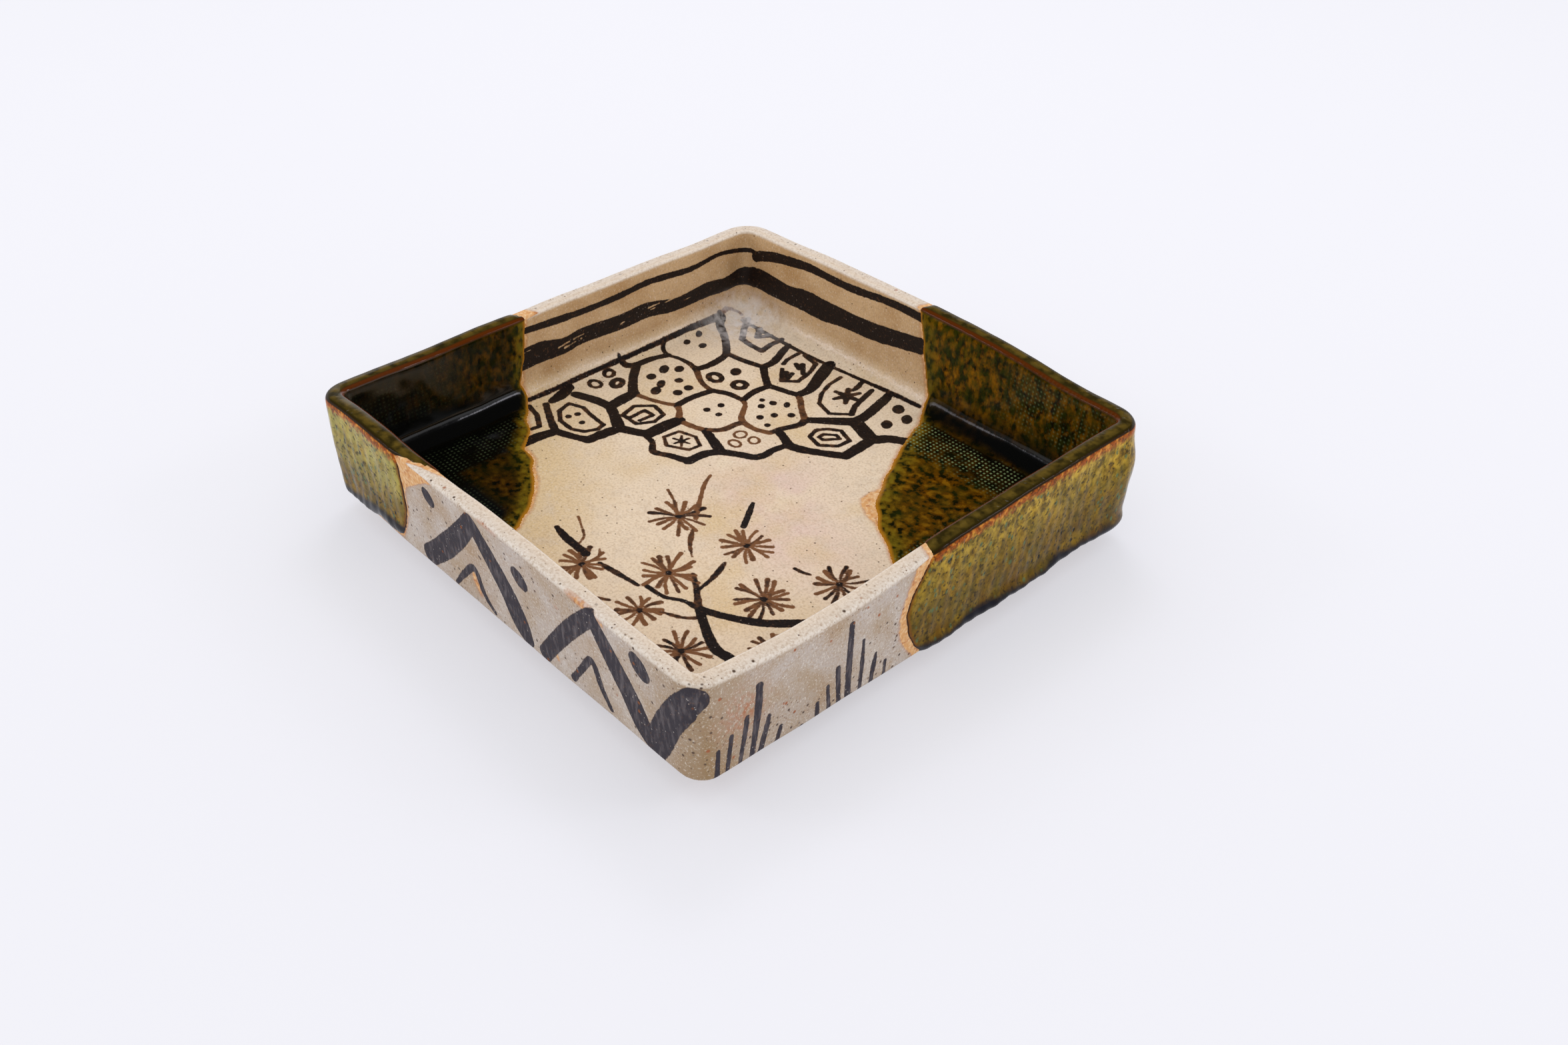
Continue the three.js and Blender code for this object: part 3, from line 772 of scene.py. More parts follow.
BRANCHES = [
    (1.0, (84, -61, 4), (77, -61.5, 4), (72, -61.5, 4), (66, -62, 4), (59, -59.5, 3.6), (51, -55.5, 3.2),
     (46, -53, 3)),
    (0.7, (46, -53, 3), (40, -48.5, 2.4), (35, -45, 2), (31, -42.5, 1.6)),
    (0.9, (83, -26, 3.4), (77, -29.5, 3.6), (72, -35.5, 4), (66, -42, 3.8), (57, -48, 3.2),
     (48, -52.5, 3), (40, -54.5, 1.8), (34, -58, 1.8), (26, -58.8, 2)),
    (0.8, (39, -48, 1.6), (37.8, -42, 1.6), (36, -36, 2.4), (33.6, -30.6, 1.4)),
    (0.6, (49.5, -57, 1.8), (46, -60.5, 1.5), (39, -64, 1.2)),
    (0.8, (23.5, -60.8, 1.6), (12, -62.2, 2.4), (5.5, -63, 1.6)),
    (0.9, (-2, -63.4, 3.6), (-8, -63.2, 3.2), (-14, -63, 3.2), (-21, -61.8, 2)),
    (0.5, (-21, -52.2, 1.2), (-15.5, -55, 1), (-10.6, -57.6, 1), (-8, -61.5, 0.8)),
    (0.4, (-1, -58, 0.8), (2, -60.5, 1), (3, -62.5, 0.6)),
    (1.0, (14.2, 0.4, 1.6), (18, -5, 2.4), (22.6, -11.8, 2.4)),
    (0.3, (-9, 0, 1.2), (-6, -5.5, 1.6), (-1, -11.5, 1.6), (4, -17.2, 2), (8, -21.5, 2)),
    (0.5, (-12.4, -17.6, 1.2), (-6, -20, 1.1), (-1, -23, 0.8)),
    (0.6, (11.4, -25.4, 0.8), (15, -29.5, 2), (18.4, -33, 1.6), (24, -36.8, 0.6)),
    (0.7, (52, -14.4, 1.5), (55, -13.8, 1.6), (58, -12.4, 1)),
    (0.6, (20, -75, 1.6), (23.4, -72.8, 1.2)),
]
for load, *points in BRANCHES:
    stroke(FLOOR_PAINT, load, *points)

# %% Stripes inside, zigzag and grass outside
INNER_TURN = 190.6
STRIPES = [
    (1.0, (-19, 46.4, 2.6), (0, 44.8, 3.2), (12, 44.3, 2.8), (30, 44.7, 2.8), (43, 45.5, 2.8),
     (55, 44.6, 3), (67, 43.9, 2.6), (82, 45.3, 2), (93, 43.6, 2), (98, 43, 1.8)),
    (1.0, (98.6, 41.5, 4.6), (102, 42.8, 4.4), (110, 44.9, 4.5), (120, 46.4, 4), (130, 47.2, 3.6),
     (141, 46.8, 3), (151, 46.8, 3.2), (161, 47.4, 3), (171, 48.3, 2.9), (181, 48.7, 3.1), (194, 48.4, 3.2)),
    (1.0, (-24, 33.2, 9.4), (-12, 34, 9.6), (0, 32.3, 7.2), (10, 33.3, 7), (30, 32.6, 7), (42, 33, 7),
     (55, 30.5, 6), (62, 30.2, 6), (75, 31, 7), (85, 30, 6.4), (93, 31, 7.6), (102, 32.4, 9), (110, 32, 8.8),
     (120, 31.7, 8), (130, 32.7, 9.2), (141, 32.5, 9), (151, 33.2, 7.6), (161, 33.7, 7), (171, 34.5, 7),
     (181, 36, 6.6), (194, 38, 6.4)),
]
for load, *points in STRIPES:
    stroke(INNER_PAINT, load, *points)

BRUSH_SKIPS = [
    (-3, 32.4, 3, 33.2, 0.9), (0, 31.2, 6, 31.9, 0.8), (5, 33.4, 10, 33.8, 0.7), (8, 32.2, 11, 32.4, 0.5),
    (28.5, 31.6, 31, 32.2, 0.7), (43, 33.6, 49, 33.9, 0.8), (44, 32.4, 47, 32.6, 0.5),
    (52, 33.0, 57, 33.2, 0.5), (62, 30.4, 66, 30.8, 0.4), (-20, 36.4, -16, 36.8, 0.5),
]
for x0, y0, x1, y1, width in BRUSH_SKIPS:
    stroke(SKIPS, 0, (x0, y0, width), (x1, y1, width * 0.6))

OUTER_TURN = 206.6
ZIGZAG = [
    (0.9, (-37.5, 15.5, 8.6), (-27, 25, 9), (-16, 36, 8.6), (-6.5, 46.5, 7.6)),
    (0.9, (-5, 46, 7), (4, 36.5, 9), (11.5, 28, 10.2), (16.5, 20, 11), (20, 14.5, 7)),
    (0.9, (29.8, 14.5, 6), (39, 27, 6.4), (48, 38.5, 6.6), (57, 48.6, 6.4)),
    (0.9, (58, 48.6, 6.8), (67, 37.5, 9), (74.5, 28, 9.8), (79.5, 20, 10), (84, 15, 8)),
    (0.9, (86, 13.5, 8), (88.5, 21, 10.6), (93, 31, 10.2), (98.5, 40, 9.8), (103.2, 46, 9.4)),
    (0.9, (-22, 12.6, 1.8), (-16, 20, 2.6), (-8.4, 27, 2.8), (-4.4, 18.5, 2.8), (1, 13.4, 1.8)),
    (0.9, (45, 14.5, 2.6), (50, 22, 2.6), (56, 30, 3), (60, 21, 3), (64, 14.4, 2.2)),
]
for load, *points in ZIGZAG:
    stroke(OUTER_PAINT, load, *points)
dot(OUTER_PAINT, 0.9, -32.2, 43.6, 5.6, 3.6, -40)
dot(OUTER_PAINT, 0.6, 20, 39.6, 6.6, 4, -30)
dot(OUTER_PAINT, 0.9, 80.6, 44.4, 7.2, 5, -45)

OUTER_SCARS = [
    ((46, 51.3, 1.4), (55, 50.8, 2.2), (64, 49.6, 1.2)), ((-1, 50.8, 0.8), (9, 50.2, 1)),
    ((-10.5, 27, 1), (-8.6, 21, 3), (-6.5, 16.5, 1.6)), ((39, 41.2, 0.8), (41, 40, 0.8)),
    ((36.6, 20, 1), (37.4, 17, 1.2)),
]
INNER_SCARS = [((-21.6, 40.6, 1), (-20.8, 39.4, 1.2)), ((-24, 29.5, 1.4), (-22.5, 27, 2), (-21, 24, 1.2))]
SCARRED_OUTSIDE, SCARRED_INSIDE = [], []
for sheet, scars in ((SCARRED_OUTSIDE, OUTER_SCARS), (SCARRED_INSIDE, INNER_SCARS)):
    for points in scars:
        stroke(sheet, 0, *points)

GRASS = [
    ((-95.6, 21.6, 1.6), (-95.9, 9, 2.1)), ((-90.6, 25, 1.6), (-92, 9, 1.8)),
    ((-84.5, 29.2, 1.8), (-85, 24, 2.2), (-87, 9, 1.6)), ((-79.9, 39.2, 2.8), (-80.2, 28.4, 3), (-82, 9, 2)),
    ((-75.4, 24.4, 1.8), (-76.6, 18.4, 2.4), (-79, 9, 2.2)), ((-70.1, 16.6, 1.6), (-72.3, 9, 2.2)),
    ((-61.3, 11.6, 1.6), (-61.3, 9, 2)), ((-55, 17, 1.7), (-54.6, 9, 2)),
    ((-50.9, 22, 1.4), (-49.4, 9, 1.8)), ((-47, 27.4, 2.2), (-45, 9, 1.8)),
    ((-42.4, 42.8, 2.2), (-42, 28.4, 2.8), (-41.1, 9, 2.6)),
    ((-36.1, 32.4, 1.2), (-35.6, 20.6, 1.8), (-35.9, 9, 1.6)),
    ((-29.4, 22.7, 1), (-29.9, 18.4, 2.2), (-31, 9, 1.6)), ((-24.5, 17, 1.4), (-24.9, 9, 1.6)),
]
GRASS_LIFT = 0.1
for blade in GRASS:
    raised = [(y + OUTER_TURN, z + GRASS_LIFT * max(z - FOOT_TOP, 0), width) for y, z, width in blade]
    stroke(OUTER_PAINT, 0.9, *raised)
print("strokes in all:", len(FLOOR_PAINT) + len(INNER_PAINT) + len(OUTER_PAINT))

# %% How far every point of the clay is from the brush
FAR = 6.0


def brush_distance(sheet, u, v):
    """The distance to the edge of the nearest stroke, negative in the paint, and that stroke's load."""
    nearest = np.full(len(u), FAR)
    load_here = np.full(len(u), 0.8)
    for line, load in sheet:
        for start, stop in zip(line, line[1:]):
            margin = FAR + max(start[2], stop[2])
            low_u, low_v = np.minimum(start[:2], stop[:2]) - margin
            high_u, high_v = np.maximum(start[:2], stop[:2]) + margin
            close = np.flatnonzero((u > low_u) & (u < high_u) & (v > low_v) & (v < high_v))
            if not len(close):
                continue
            run = stop[:2] - start[:2]
            share = ((u[close] - start[0]) * run[0] + (v[close] - start[1]) * run[1]) / max(run @ run, 1e-9)
            share = np.clip(share, 0, 1)
            gap = np.hypot(u[close] - start[0] - share * run[0], v[close] - start[1] - share * run[1])
            gap -= 0.5 * (start[2] + (stop[2] - start[2]) * share)
            better = gap < nearest[close]
            nearest[close[better]] = gap[better]
            load_here[close[better]] = load
    return nearest, load_here


def paint_distance(square, laid, walk, on_floor=FLOOR_PAINT, on_inside=INNER_PAINT, on_outside=OUTER_PAINT):
    """The brush's distance and load at points of the pan, whichever face they lie on."""
    x, y, z = square.T
    inset = HALF - reach_of((x, y))
    side_wall = abs(x) > abs(y)
    inside = (inset > WALL / 2) & (z > FOOT_HEIGHT + 1)
    distance = np.full(len(x), FAR)
    load = np.full(len(x), 0.8)
    back_left = (side_wall & (x < 0)) | (~side_wall & (y > 0))
    front_right = (side_wall & (x > 0)) | (~side_wall & (y < 0))
    turning = INNER_TURN / 2
    inner_walk = np.where(side_wall, np.minimum(walk, turning), np.maximum(walk + INNER_TURN, turning))
    outer_walk = np.where(side_wall, walk + OUTER_TURN, walk)
    faces = [
        (on_floor, inside & (z < FLOOR_TOP + COVE), laid[:, 0], laid[:, 1]),
        (on_inside, inside & (z > FLOOR_TOP + COVE / 2) & back_left, inner_walk, z),
        (on_outside, ~inside & front_right, outer_walk, z),
    ]
    for sheet, here, u, v in faces:
        found = np.flatnonzero(here)
        gap, thickness = brush_distance(sheet, u[found], v[found])
        if sheet is INNER_PAINT:
            gap = np.maximum(gap, -brush_distance(SKIPS, u[found], v[found])[0])
        closer = gap < distance[found]
        distance[found[closer]] = gap[closer]
        load[found[closer]] = thickness[closer]
    return distance, load


# %% [markdown]
# ## The clay body
# The painted clay is the slab with finer cuts wherever the brush passed, so that a stroke two
# millimetres wide keeps its shape. The distances are written on the vertices while the pan is still
# square, and so are the places that the fire marked: the toasted near corner, a rusty stain beside it
# and the rosy and yellow parts of the floor. So is a pale patch of painted glare in the far corner,
# which stands in for light that the glaze there reflects. Then the vertices go to their places on the bowl.

# %% Finer cuts under the brush
def copy_of(piece, name):
    twin = piece.copy()
    twin.data = piece.data.copy()
    bpy.context.scene.collection.objects.link(twin)
    twin.name = name
    twin.data.name = name
    return twin


body = copy_of(slab, "pressed_body")


def near_brush(middle, normal):
    square = middle.T
    laid, walk = lay_out(square)
    return paint_distance(square, laid, walk)[0] < 1.2


pick(body, near_brush)
bpy.ops.mesh.subdivide(number_cuts=3)
done()
print("clay body:", len(body.data.polygons), "faces")

# %% What the clay remembers, and its final shape
square = true_section(places(body.data))
laid, walk = lay_out(square)
distance, load = paint_distance(square, laid, walk)
inset = HALF - reach_of(square.T)
bare = [bare_depth(coat, square, green_depth(coat, square, laid, walk)[0]) for coat in GREEN.values()]
bare.append(-paint_distance(square, laid, walk, [], SCARRED_INSIDE, SCARRED_OUTSIDE)[0] - 0.4)
right_wall = (square[:, 0] > abs(square[:, 1])) * smooth(-20, -60, square[:, 1])
near_corner = np.exp(-(np.hypot(laid[:, 0] - HALF, laid[:, 1] + HALF) / 17) ** 2)
toasted = 0.8 * near_corner + 0.3 * right_wall * smooth(46, 20, square[:, 2])
stain = np.exp(-((square[:, 1] + 88) / 9) ** 2 - ((square[:, 2] - 33) / 9) ** 2) * (square[:, 0] > HALF - 1)
# The far corner gets a pale patch of painted glare, a highlight laid into the clay's colour.
from_far_corner = np.hypot(laid[:, 0] + 86, laid[:, 1] - 85)
milky = np.exp(-(from_far_corner / 15) ** 2) * smooth(29, 20, square[:, 2]) * (inset > WALL)
u, v = laid[:, 0], laid[:, 1]
blush = (np.exp(-((u - 10) / 20) ** 2 - ((v - 11) / 22) ** 2)
         + np.exp(-((u - 38) / 30) ** 2 - ((v + 5) / 20) ** 2))
above_base = square[:, 2] > FOOT_HEIGHT + 1
at_base = square[:, 2] < FOOT_HEIGHT + 0.05
note(body.data,
     brush_mm=distance,
     brush_load=load,
     bare_mm=np.max(bare, axis=0),
     outside=1 - smooth(1.0, 5.0, inset) * above_base,
     height_mm=square[:, 2],
     arris_mm=from_arris(square),
     toasted=np.clip(toasted, 0, 1),
     stain=stain,
     milky=milky,
     yellowed=smooth(-36, -4, green_depth(GREEN["front_left"], square, laid, walk)[0]),
     blush=np.clip(blush, 0, 1),
     underside=at_base * smooth(FOOT_EDGE - 1, FOOT_EDGE + 2, inset))
put(body.data, bowl_places(laid))
body.data.shade_smooth()


def report(piece):
    points = places(piece.data)
    piece.data.calc_loop_triangles()
    print(piece.name, "has", len(piece.data.loop_triangles), "triangles, from",
          points.min(0).round(2), "to", points.max(0).round(2))


report(body)

# %% [markdown]
# ## The green coats
# A dipped corner is a layer of glass over the clay. Each coat is cut from a copy of the slab, a little
# past its edge, cut finer, and lifted off the clay by the glaze's own thickness: thin over the arrises,
# pooled in the coves and rolled along the line where it stopped. Past the edge it dives under the clay,
# so the visible border is where the two skins cross. No point is let past the CAD model's box, and
# Solidify closes the coat underneath.

# %% Coats from the clay's own skin
PAST_EDGE = 3.0
COAT_BACK = 0.8
COAT_FULL, POOL_EXTRA = 0.75, 0.45
RIB_SPACING, RIB_HEIGHT = 5.4, 0.10
BOX_MARGIN = 0.06


def coat_lift(coat, square, laid, walk):
    """How high the top of the glaze stands over the clay."""
    depth, above_end = green_depth(coat, square, laid, walk)
    inset = HALF - reach_of(square.T)
    z = square[:, 2]
    inside = (inset > WALL / 2) & (z > FOOT_HEIGHT + 1)
    cove_middle = np.hypot(inset - WALL - 2.5, z - FLOOR_TOP - 2)
    restless = 1 - 0.85 * np.exp(-(cove_middle / 7) ** 2) * inside
    full = COAT_FULL + restless * (0.10 * ripple(laid, 14, 21) + 0.05 * ripple(laid, 4, 22))
    full += POOL_EXTRA * np.exp(-(cove_middle / 4) ** 2) * inside
    full *= 1 - 0.4 * np.exp(-(from_arris(square) / 1.3) ** 2)
    runs = np.sin(2 * math.pi * walk / RIB_SPACING + 1.5 * ripple(laid, 12, 23))
    full += np.where(inside, 0, RIB_HEIGHT * runs * smooth(RIM_TOP - 2, RIM_TOP - 10, z))
    sign_x, sign_y = coat["corner"]
    from_corner = np.hypot(HALF - sign_x * laid[:, 0], HALF - sign_y * laid[:, 1])
    near = np.exp(-(from_corner / 22) ** 2)
    to_the_side = smooth(-14, 4, abs(square[:, 0]) - abs(square[:, 1]))
    full += np.where(inside, 0, coat["fuller"] * near * to_the_side * smooth(RIM_TOP - 2, RIM_TOP - 17, z))
    roll = coat["roll"] * (0.75 + 0.4 * ripple(laid, 13, 24)) * (1 - 0.9 * near * (1 - to_the_side))
    full += roll * np.exp(-((above_end - 0.6 * coat["bead"]) / (0.45 * coat["bead"])) ** 2)
    lift = np.where(depth > 0, full * (1 - np.exp(-np.maximum(depth, 0) / 0.9)),
                    -0.4 * (1 - np.exp(np.minimum(depth, 0) / 0.6)))
    return depth, above_end, runs, lift


def glaze_coat(name):
    coat = GREEN[name]
    piece = copy_of(slab, f"green_coat_{name}")

    def outside_coat(middle, normal):
        square = middle.T
        laid, walk = lay_out(square)
        return green_depth(coat, square, laid, walk)[0] < -PAST_EDGE

    pick(piece, outside_coat)
    bpy.ops.mesh.delete(type="FACE")
    bpy.ops.mesh.select_all(action="SELECT")
    bpy.ops.mesh.subdivide(number_cuts=1)
    done()
    mesh = piece.data
    square = true_section(places(mesh))
    laid, walk = lay_out(square)
    depth, above_end, runs, lift = coat_lift(coat, square, laid, walk)
    put(mesh, bowl_places(laid))
    normals = read(mesh.vertex_normals, "vector", 3)
    box_low, box_high = (np.array(corner) / MM for corner in CAD_BOX)
    lifted = places(mesh) + normals * lift[:, None]
    put(mesh, np.clip(lifted, box_low + BOX_MARGIN, box_high - BOX_MARGIN))
    inset, z, along = HALF - reach_of(square.T), square[:, 2], from_cove(square)
    inside = smooth(1.0, 5.0, inset) * (z > FOOT_HEIGHT + 1)
    cove = np.exp(-((along - COVE * 0.7) / 7) ** 2)
    ragged_bead = coat["bead"] * (0.9 + 0.22 * ripple(laid, 12, 25))
    on_floor = smooth(-22, -14, along) * smooth(1, -2, along)
    on_wall = smooth(14, 18, along) * smooth(42, 34, along) * smooth(40, 62, abs(walk))
    dark = 0.95 * cove + coat["darkness"] + 0.25 * smooth(15, 60, depth) + 0.7 * on_floor
    between_arrises = smooth(0.9, 1.5, inset) * smooth(WALL - 0.9, WALL - 1.5, inset)
    note(mesh,
         depth_mm=depth,
         bead=smooth(ragged_bead + 1.8, ragged_bead - 1.0, above_end),
         outside=1 - inside,
         arris_mm=from_arris(square),
         drop_mm=RIM_TOP - z,
         runs=runs,
         rim_flat=(z > RIM_TOP - 0.1) * between_arrises,
         pool=np.clip(dark, 0, 1) * smooth(2, 8, depth + 4 * cove),
         cloth_u=walk,
         cloth_v=along,
         cloth=coat["weave"] * np.maximum(on_floor, 0.28 * on_wall) * inside,
         pale=coat["paleness"] * smooth(RIM_TOP - 36, RIM_TOP - 8, z) * (1 - inside))
    only(piece)
    closing = piece.modifiers.new("closing", "SOLIDIFY")
    closing.thickness = COAT_BACK * MM
    closing.offset = -1
    bpy.ops.object.modifier_apply(modifier=closing.name)
    mesh.shade_smooth()
    report(piece)
    return piece


green_coats = {name: glaze_coat(name) for name in GREEN}

# %% [markdown]
# ## The feet
# Four straps of clay, each bent into a half loop and pressed on with a wet finger. One foot starts as
# the strap's cross section, which is spun through half a turn. The loop is cut flat where it stands,
# and its ends are spread where they meet the bowl. The other three are copies with their own meshes.

# %% One loop foot
STRAP_WIDTH, STRAP_THICKNESS, STRAP_EDGE = 11, 4.4, 1.3
STAND_LENGTH = 10
LUTING = 2.4
strap_top = FOOT_HEIGHT - 0.3
loop_outer = math.hypot(strap_top, STAND_LENGTH / 2)
loop_middle = loop_outer - STRAP_THICKNESS / 2

bpy.ops.mesh.primitive_plane_add(size=1, location=(loop_middle * MM, 0, strap_top * MM))
strap = bpy.context.object
strap.scale = (STRAP_THICKNESS * MM, STRAP_WIDTH * MM, 1)
settle(strap, "loop_foot")
bpy.ops.object.mode_set(mode="EDIT")
bpy.ops.mesh.select_all(action="SELECT")
bpy.ops.mesh.bevel(offset=STRAP_EDGE * MM, segments=4, affect="VERTICES")
bpy.ops.mesh.select_all(action="SELECT")
bpy.ops.mesh.spin(steps=32, angle=math.pi, center=(0, 0, strap_top * MM), axis=(0, -1, 0))
done()
pick(strap, lambda middle, normal: middle[2] > strap_top - 0.05)
bpy.ops.mesh.extrude_region_move(TRANSFORM_OT_translate={"value": (0, 0, 0.7 * MM)})
for height in (strap_top - 3, strap_top - 2, strap_top - 1.2, strap_top - 0.5):
    bpy.ops.mesh.select_all(action="SELECT")
    bpy.ops.mesh.bisect(plane_co=(0, 0, height * MM), plane_no=(0, 0, 1))
for side in (-3.6, -1.8, 0, 1.8, 3.6):
    bpy.ops.mesh.select_all(action="SELECT")
    bpy.ops.mesh.bisect(plane_co=(0, side * MM, 0), plane_no=(0, 1, 0))
bpy.ops.mesh.select_all(action="SELECT")
bpy.ops.mesh.bisect(plane_co=(0, 0, 0), plane_no=(0, 0, 1), clear_inner=True, use_fill=True)
bpy.ops.mesh.select_all(action="SELECT")
bpy.ops.mesh.normals_make_consistent(inside=False)
done()
report(strap)

# %% Four feet, each with its own pressing
FOOT_INSET = 42


def set_foot(name, side_x, side_y, seed):
    """A copy of the strap, spread at the top, a little uneven, and set under its corner."""
    foot = copy_of(strap, f"loop_foot_{name}")
    points = places(foot.data)
    rise = np.clip((points[:, 2] - strap_top + LUTING) / LUTING, 0, 1)
    spread = LUTING * (1 - np.sqrt(1 - (0.96 * rise) ** 2))
    outer = abs(points[:, 0]) > loop_middle
    points[:, 0] += np.sign(points[:, 0]) * spread * np.where(outer, 1, -0.8)
    points[:, 1] += spread * 0.9 * points[:, 1] / (STRAP_WIDTH / 2)
    lifted = np.clip(points[:, 2] / 2, 0, 1)
    uneven = np.stack([ripple(points, 7, seed + axis) for axis in range(3)], 1)
    points += 0.16 * uneven * lifted[:, None] * [1, 1, 0.5]
    points[:, 2] = np.maximum(points[:, 2], 0)
    angle = math.atan2(side_y, side_x) + math.pi / 2
    cosine, sine = math.cos(angle), math.sin(angle)
    centre = np.array([side_x, side_y]) * (HALF - FOOT_INSET) - OFF_CENTRE[:2]
    turned = np.stack([points[:, 0] * cosine - points[:, 1] * sine + centre[0],
                       points[:, 0] * sine + points[:, 1] * cosine + centre[1], points[:, 2]], 1)
    put(foot.data, turned)
    only(foot)
    bpy.ops.object.shade_smooth_by_angle(angle=math.radians(40))
    report(foot)
    return foot


feet = {
    "front_right": set_foot("front_right", 1, -1, 40),
    "back_right": set_foot("back_right", 1, 1, 50),
    "back_left": set_foot("back_left", -1, 1, 60),
    "front_left": set_foot("front_left", -1, -1, 70),
}
for spare in (slab, strap):
    bpy.data.meshes.remove(spare.data)

# %% [markdown]
# ## Light and table
# The photographer used a white table and two softboxes, one on each side. A third lamp stands behind
# the far corner and is kept out of the gloss, because it would draw a second bright line in the coves.
# The table is matt white, and the room gives an even light to everything. The room that only the gloss
# sees is white at the horizon and dark overhead, so the pooled glass stays black and takes thin lights.

# %% Nodes
def linear(code):
    """An sRGB hex colour as the linear numbers that a shader takes."""
    parts = [int(code[i:i + 2], 16) / 255 for i in (1, 3, 5)]
    return [p / 12.92 if p <= 0.04045 else ((p + 0.055) / 1.055) ** 2.4 for p in parts] + [1.0]


def material(name):
    made = bpy.data.materials.new(name)
    made.use_nodes = True
    made.node_tree.nodes.clear()
    return made, made.node_tree


def add(kind, inputs=None, give=0, **settings):
    """Adds a node to the tree at hand, sets it up and joins its inputs, which are other nodes'
    outputs, hex colours or numbers. Returns the output asked for."""
    node = tree.nodes.new("ShaderNode" + kind)
    for key, value in settings.items():
        setattr(node, key, value)
    for key, value in (inputs or {}).items():
        if isinstance(value, bpy.types.NodeSocket):
            tree.links.new(value, node.inputs[key])
        else:
            node.inputs[key].default_value = linear(value) if isinstance(value, str) else value
    return node.outputs[give] if node.outputs else node


# %% Table and room
bpy.ops.mesh.primitive_circle_add(vertices=64, radius=4, fill_type="NGON", location=(0, 0, 0))
table_top = bpy.context.object
settle(table_top, "table_top")
paper, tree = material("matt_white_table")
lit = add("AddShader", {0: add("BsdfDiffuse", {"Color": "#AEAEB2"}),
                        1: add("Emission", {"Color": "#F2F2F8", "Strength": 0.49})})
plain = add("BsdfDiffuse", {"Color": "#E6E7EB"})
seen = add("Math", {0: add("LightPath", give="Is Camera Ray"), 1: add("LightPath", give="Is Glossy Ray")},
           operation="MAXIMUM")
add("OutputMaterial", {"Surface": add("MixShader", {0: seen, 1: plain, 2: lit})})
table_top.data.materials.append(paper)

ROOM_LIGHT = 0.93
world = bpy.data.worlds.new("room")
bpy.context.scene.world = world
world.use_nodes = True
tree = world.node_tree
tree.nodes.clear()
height = add("SeparateXYZ", {0: add("TexCoord", give="Generated")}, give="Z")
overhead = add("MapRange", {"Value": height, "From Min": 0.3, "From Max": 0.5},
               interpolation_type="SMOOTHSTEP")
mirrored = add("Mix", {0: overhead, 6: "#F4F5F9", 7: "#2E2F33"}, give=2, data_type="RGBA")
seen = add("Math", {0: add("LightPath", give="Is Camera Ray"), 1: add("LightPath", give="Is Glossy Ray")},
           operation="MAXIMUM")
seen = add("Math", {0: seen, 1: add("LightPath", give="Is Transmission Ray")}, operation="MAXIMUM")
even = add("Background", {"Color": "#FFFFFF", "Strength": ROOM_LIGHT})
shown = add("Background", {"Color": mirrored, "Strength": 1})
add("OutputWorld", {"Surface": add("MixShader", {0: seen, 1: even, 2: shown})})


# %% Softboxes
def softbox(name, place, wide, tall, brightness):
    """A lamp with a white cloth front, turned to the bowl. Brightness is how white its cloth looks."""
    lamp = bpy.data.objects.new(name, bpy.data.lights.new(name, "AREA"))
    lamp.data.shape = "RECTANGLE"
    lamp.data.size, lamp.data.size_y = wide, tall
    lamp.data.color = linear("#F6F4FF")[:3]
    lamp.data.energy = brightness * math.pi * wide * tall
    lamp.location = place
    lamp.rotation_euler = (Vector((0, 0, 0.03)) - Vector(place)).to_track_quat("-Z", "Y").to_euler()
    bpy.context.scene.collection.objects.link(lamp)
    return lamp


softbox("softbox_left", (-0.95, -0.98, 0.85), 0.50, 0.26, 6)
softbox("softbox_right", (0.95, 0.90, 0.85), 0.50, 0.26, 6)
softbox_back = softbox("softbox_back", (-0.48, 0.47, 0.97), 0.40, 0.30, 5)
softbox_back.visible_glossy = False
print("lamps:", [lamp.name for lamp in bpy.data.lights])

# %% [markdown]
# ## The surface of the clay
# Buff stoneware under a clear ash glaze. Inside it is cream and shines softly, with a rosy blush where
# the flame passed, and in the far corner a pale patch of painted glare. Outside the glaze is
# thin, so the clay looks grey and grainy, with specks of iron, and at the near corner it is toasted.
# Beside the green the clay has flashed orange. The iron drawing is brown where the brush was nearly
# dry and black where it was full, and outside it is drawn greyer, partly from its dry matte surface and
# partly as a painted sheen. The colours are laid over one another like washes, each with a mask of
# chance patches or of what the clay remembers.

# %% Patterns shared by the finishes
def cloud(size, low=0.35, high=0.65, most=1.0, detail=2.0, stretch=(1, 1, 1), shift=0.0):
    """Chance patches about this many millimetres across, rising from 0 to the most."""
    placed = add("Mapping", {"Vector": place, "Scale": stretch, "Location": (shift, shift, 0)})
    noise = add("TexNoise", {"Vector": placed, "Scale": 1 / (size * MM), "Detail": detail})
    return add("MapRange", {"Value": noise, "From Min": low, "From Max": high, "To Max": most})


def grains(spacing, size, share, most=1.0, stretch=(1, 1, 1), shift=0.0):
    """Round grains of this size, for this share of the places: the most in the middle of a grain and
    0 between them."""
    placed = add("Mapping", {"Vector": place, "Scale": stretch, "Location": (shift, shift, 0)})
    scale = 1 / (spacing * MM)
    gap = add("TexVoronoi", {"Vector": placed, "Scale": scale}, give="Distance")
    dice = add("SeparateColor", {0: add("TexVoronoi", {"Vector": placed, "Scale": scale}, give="Color")})
    reach = size / spacing / 2
    near = add("MapRange", {"Value": gap, "From Min": reach, "From Max": reach * 0.5, "To Max": most})
    chosen = add("Math", {0: dice, 1: share}, operation="LESS_THAN")
    return add("Math", {0: near, 1: chosen}, operation="MULTIPLY")


def layered(colour, *layers):
    """Lays colours over a first one. A layer is a colour and its masks, which are multiplied."""
    for above, mask, *others in layers:
        for other in others:
            mask = add("Math", {0: mask, 1: other}, operation="MULTIPLY")
        colour = add("Mix", {0: mask, 6: colour, 7: above}, give=2, data_type="RGBA")
    return colour


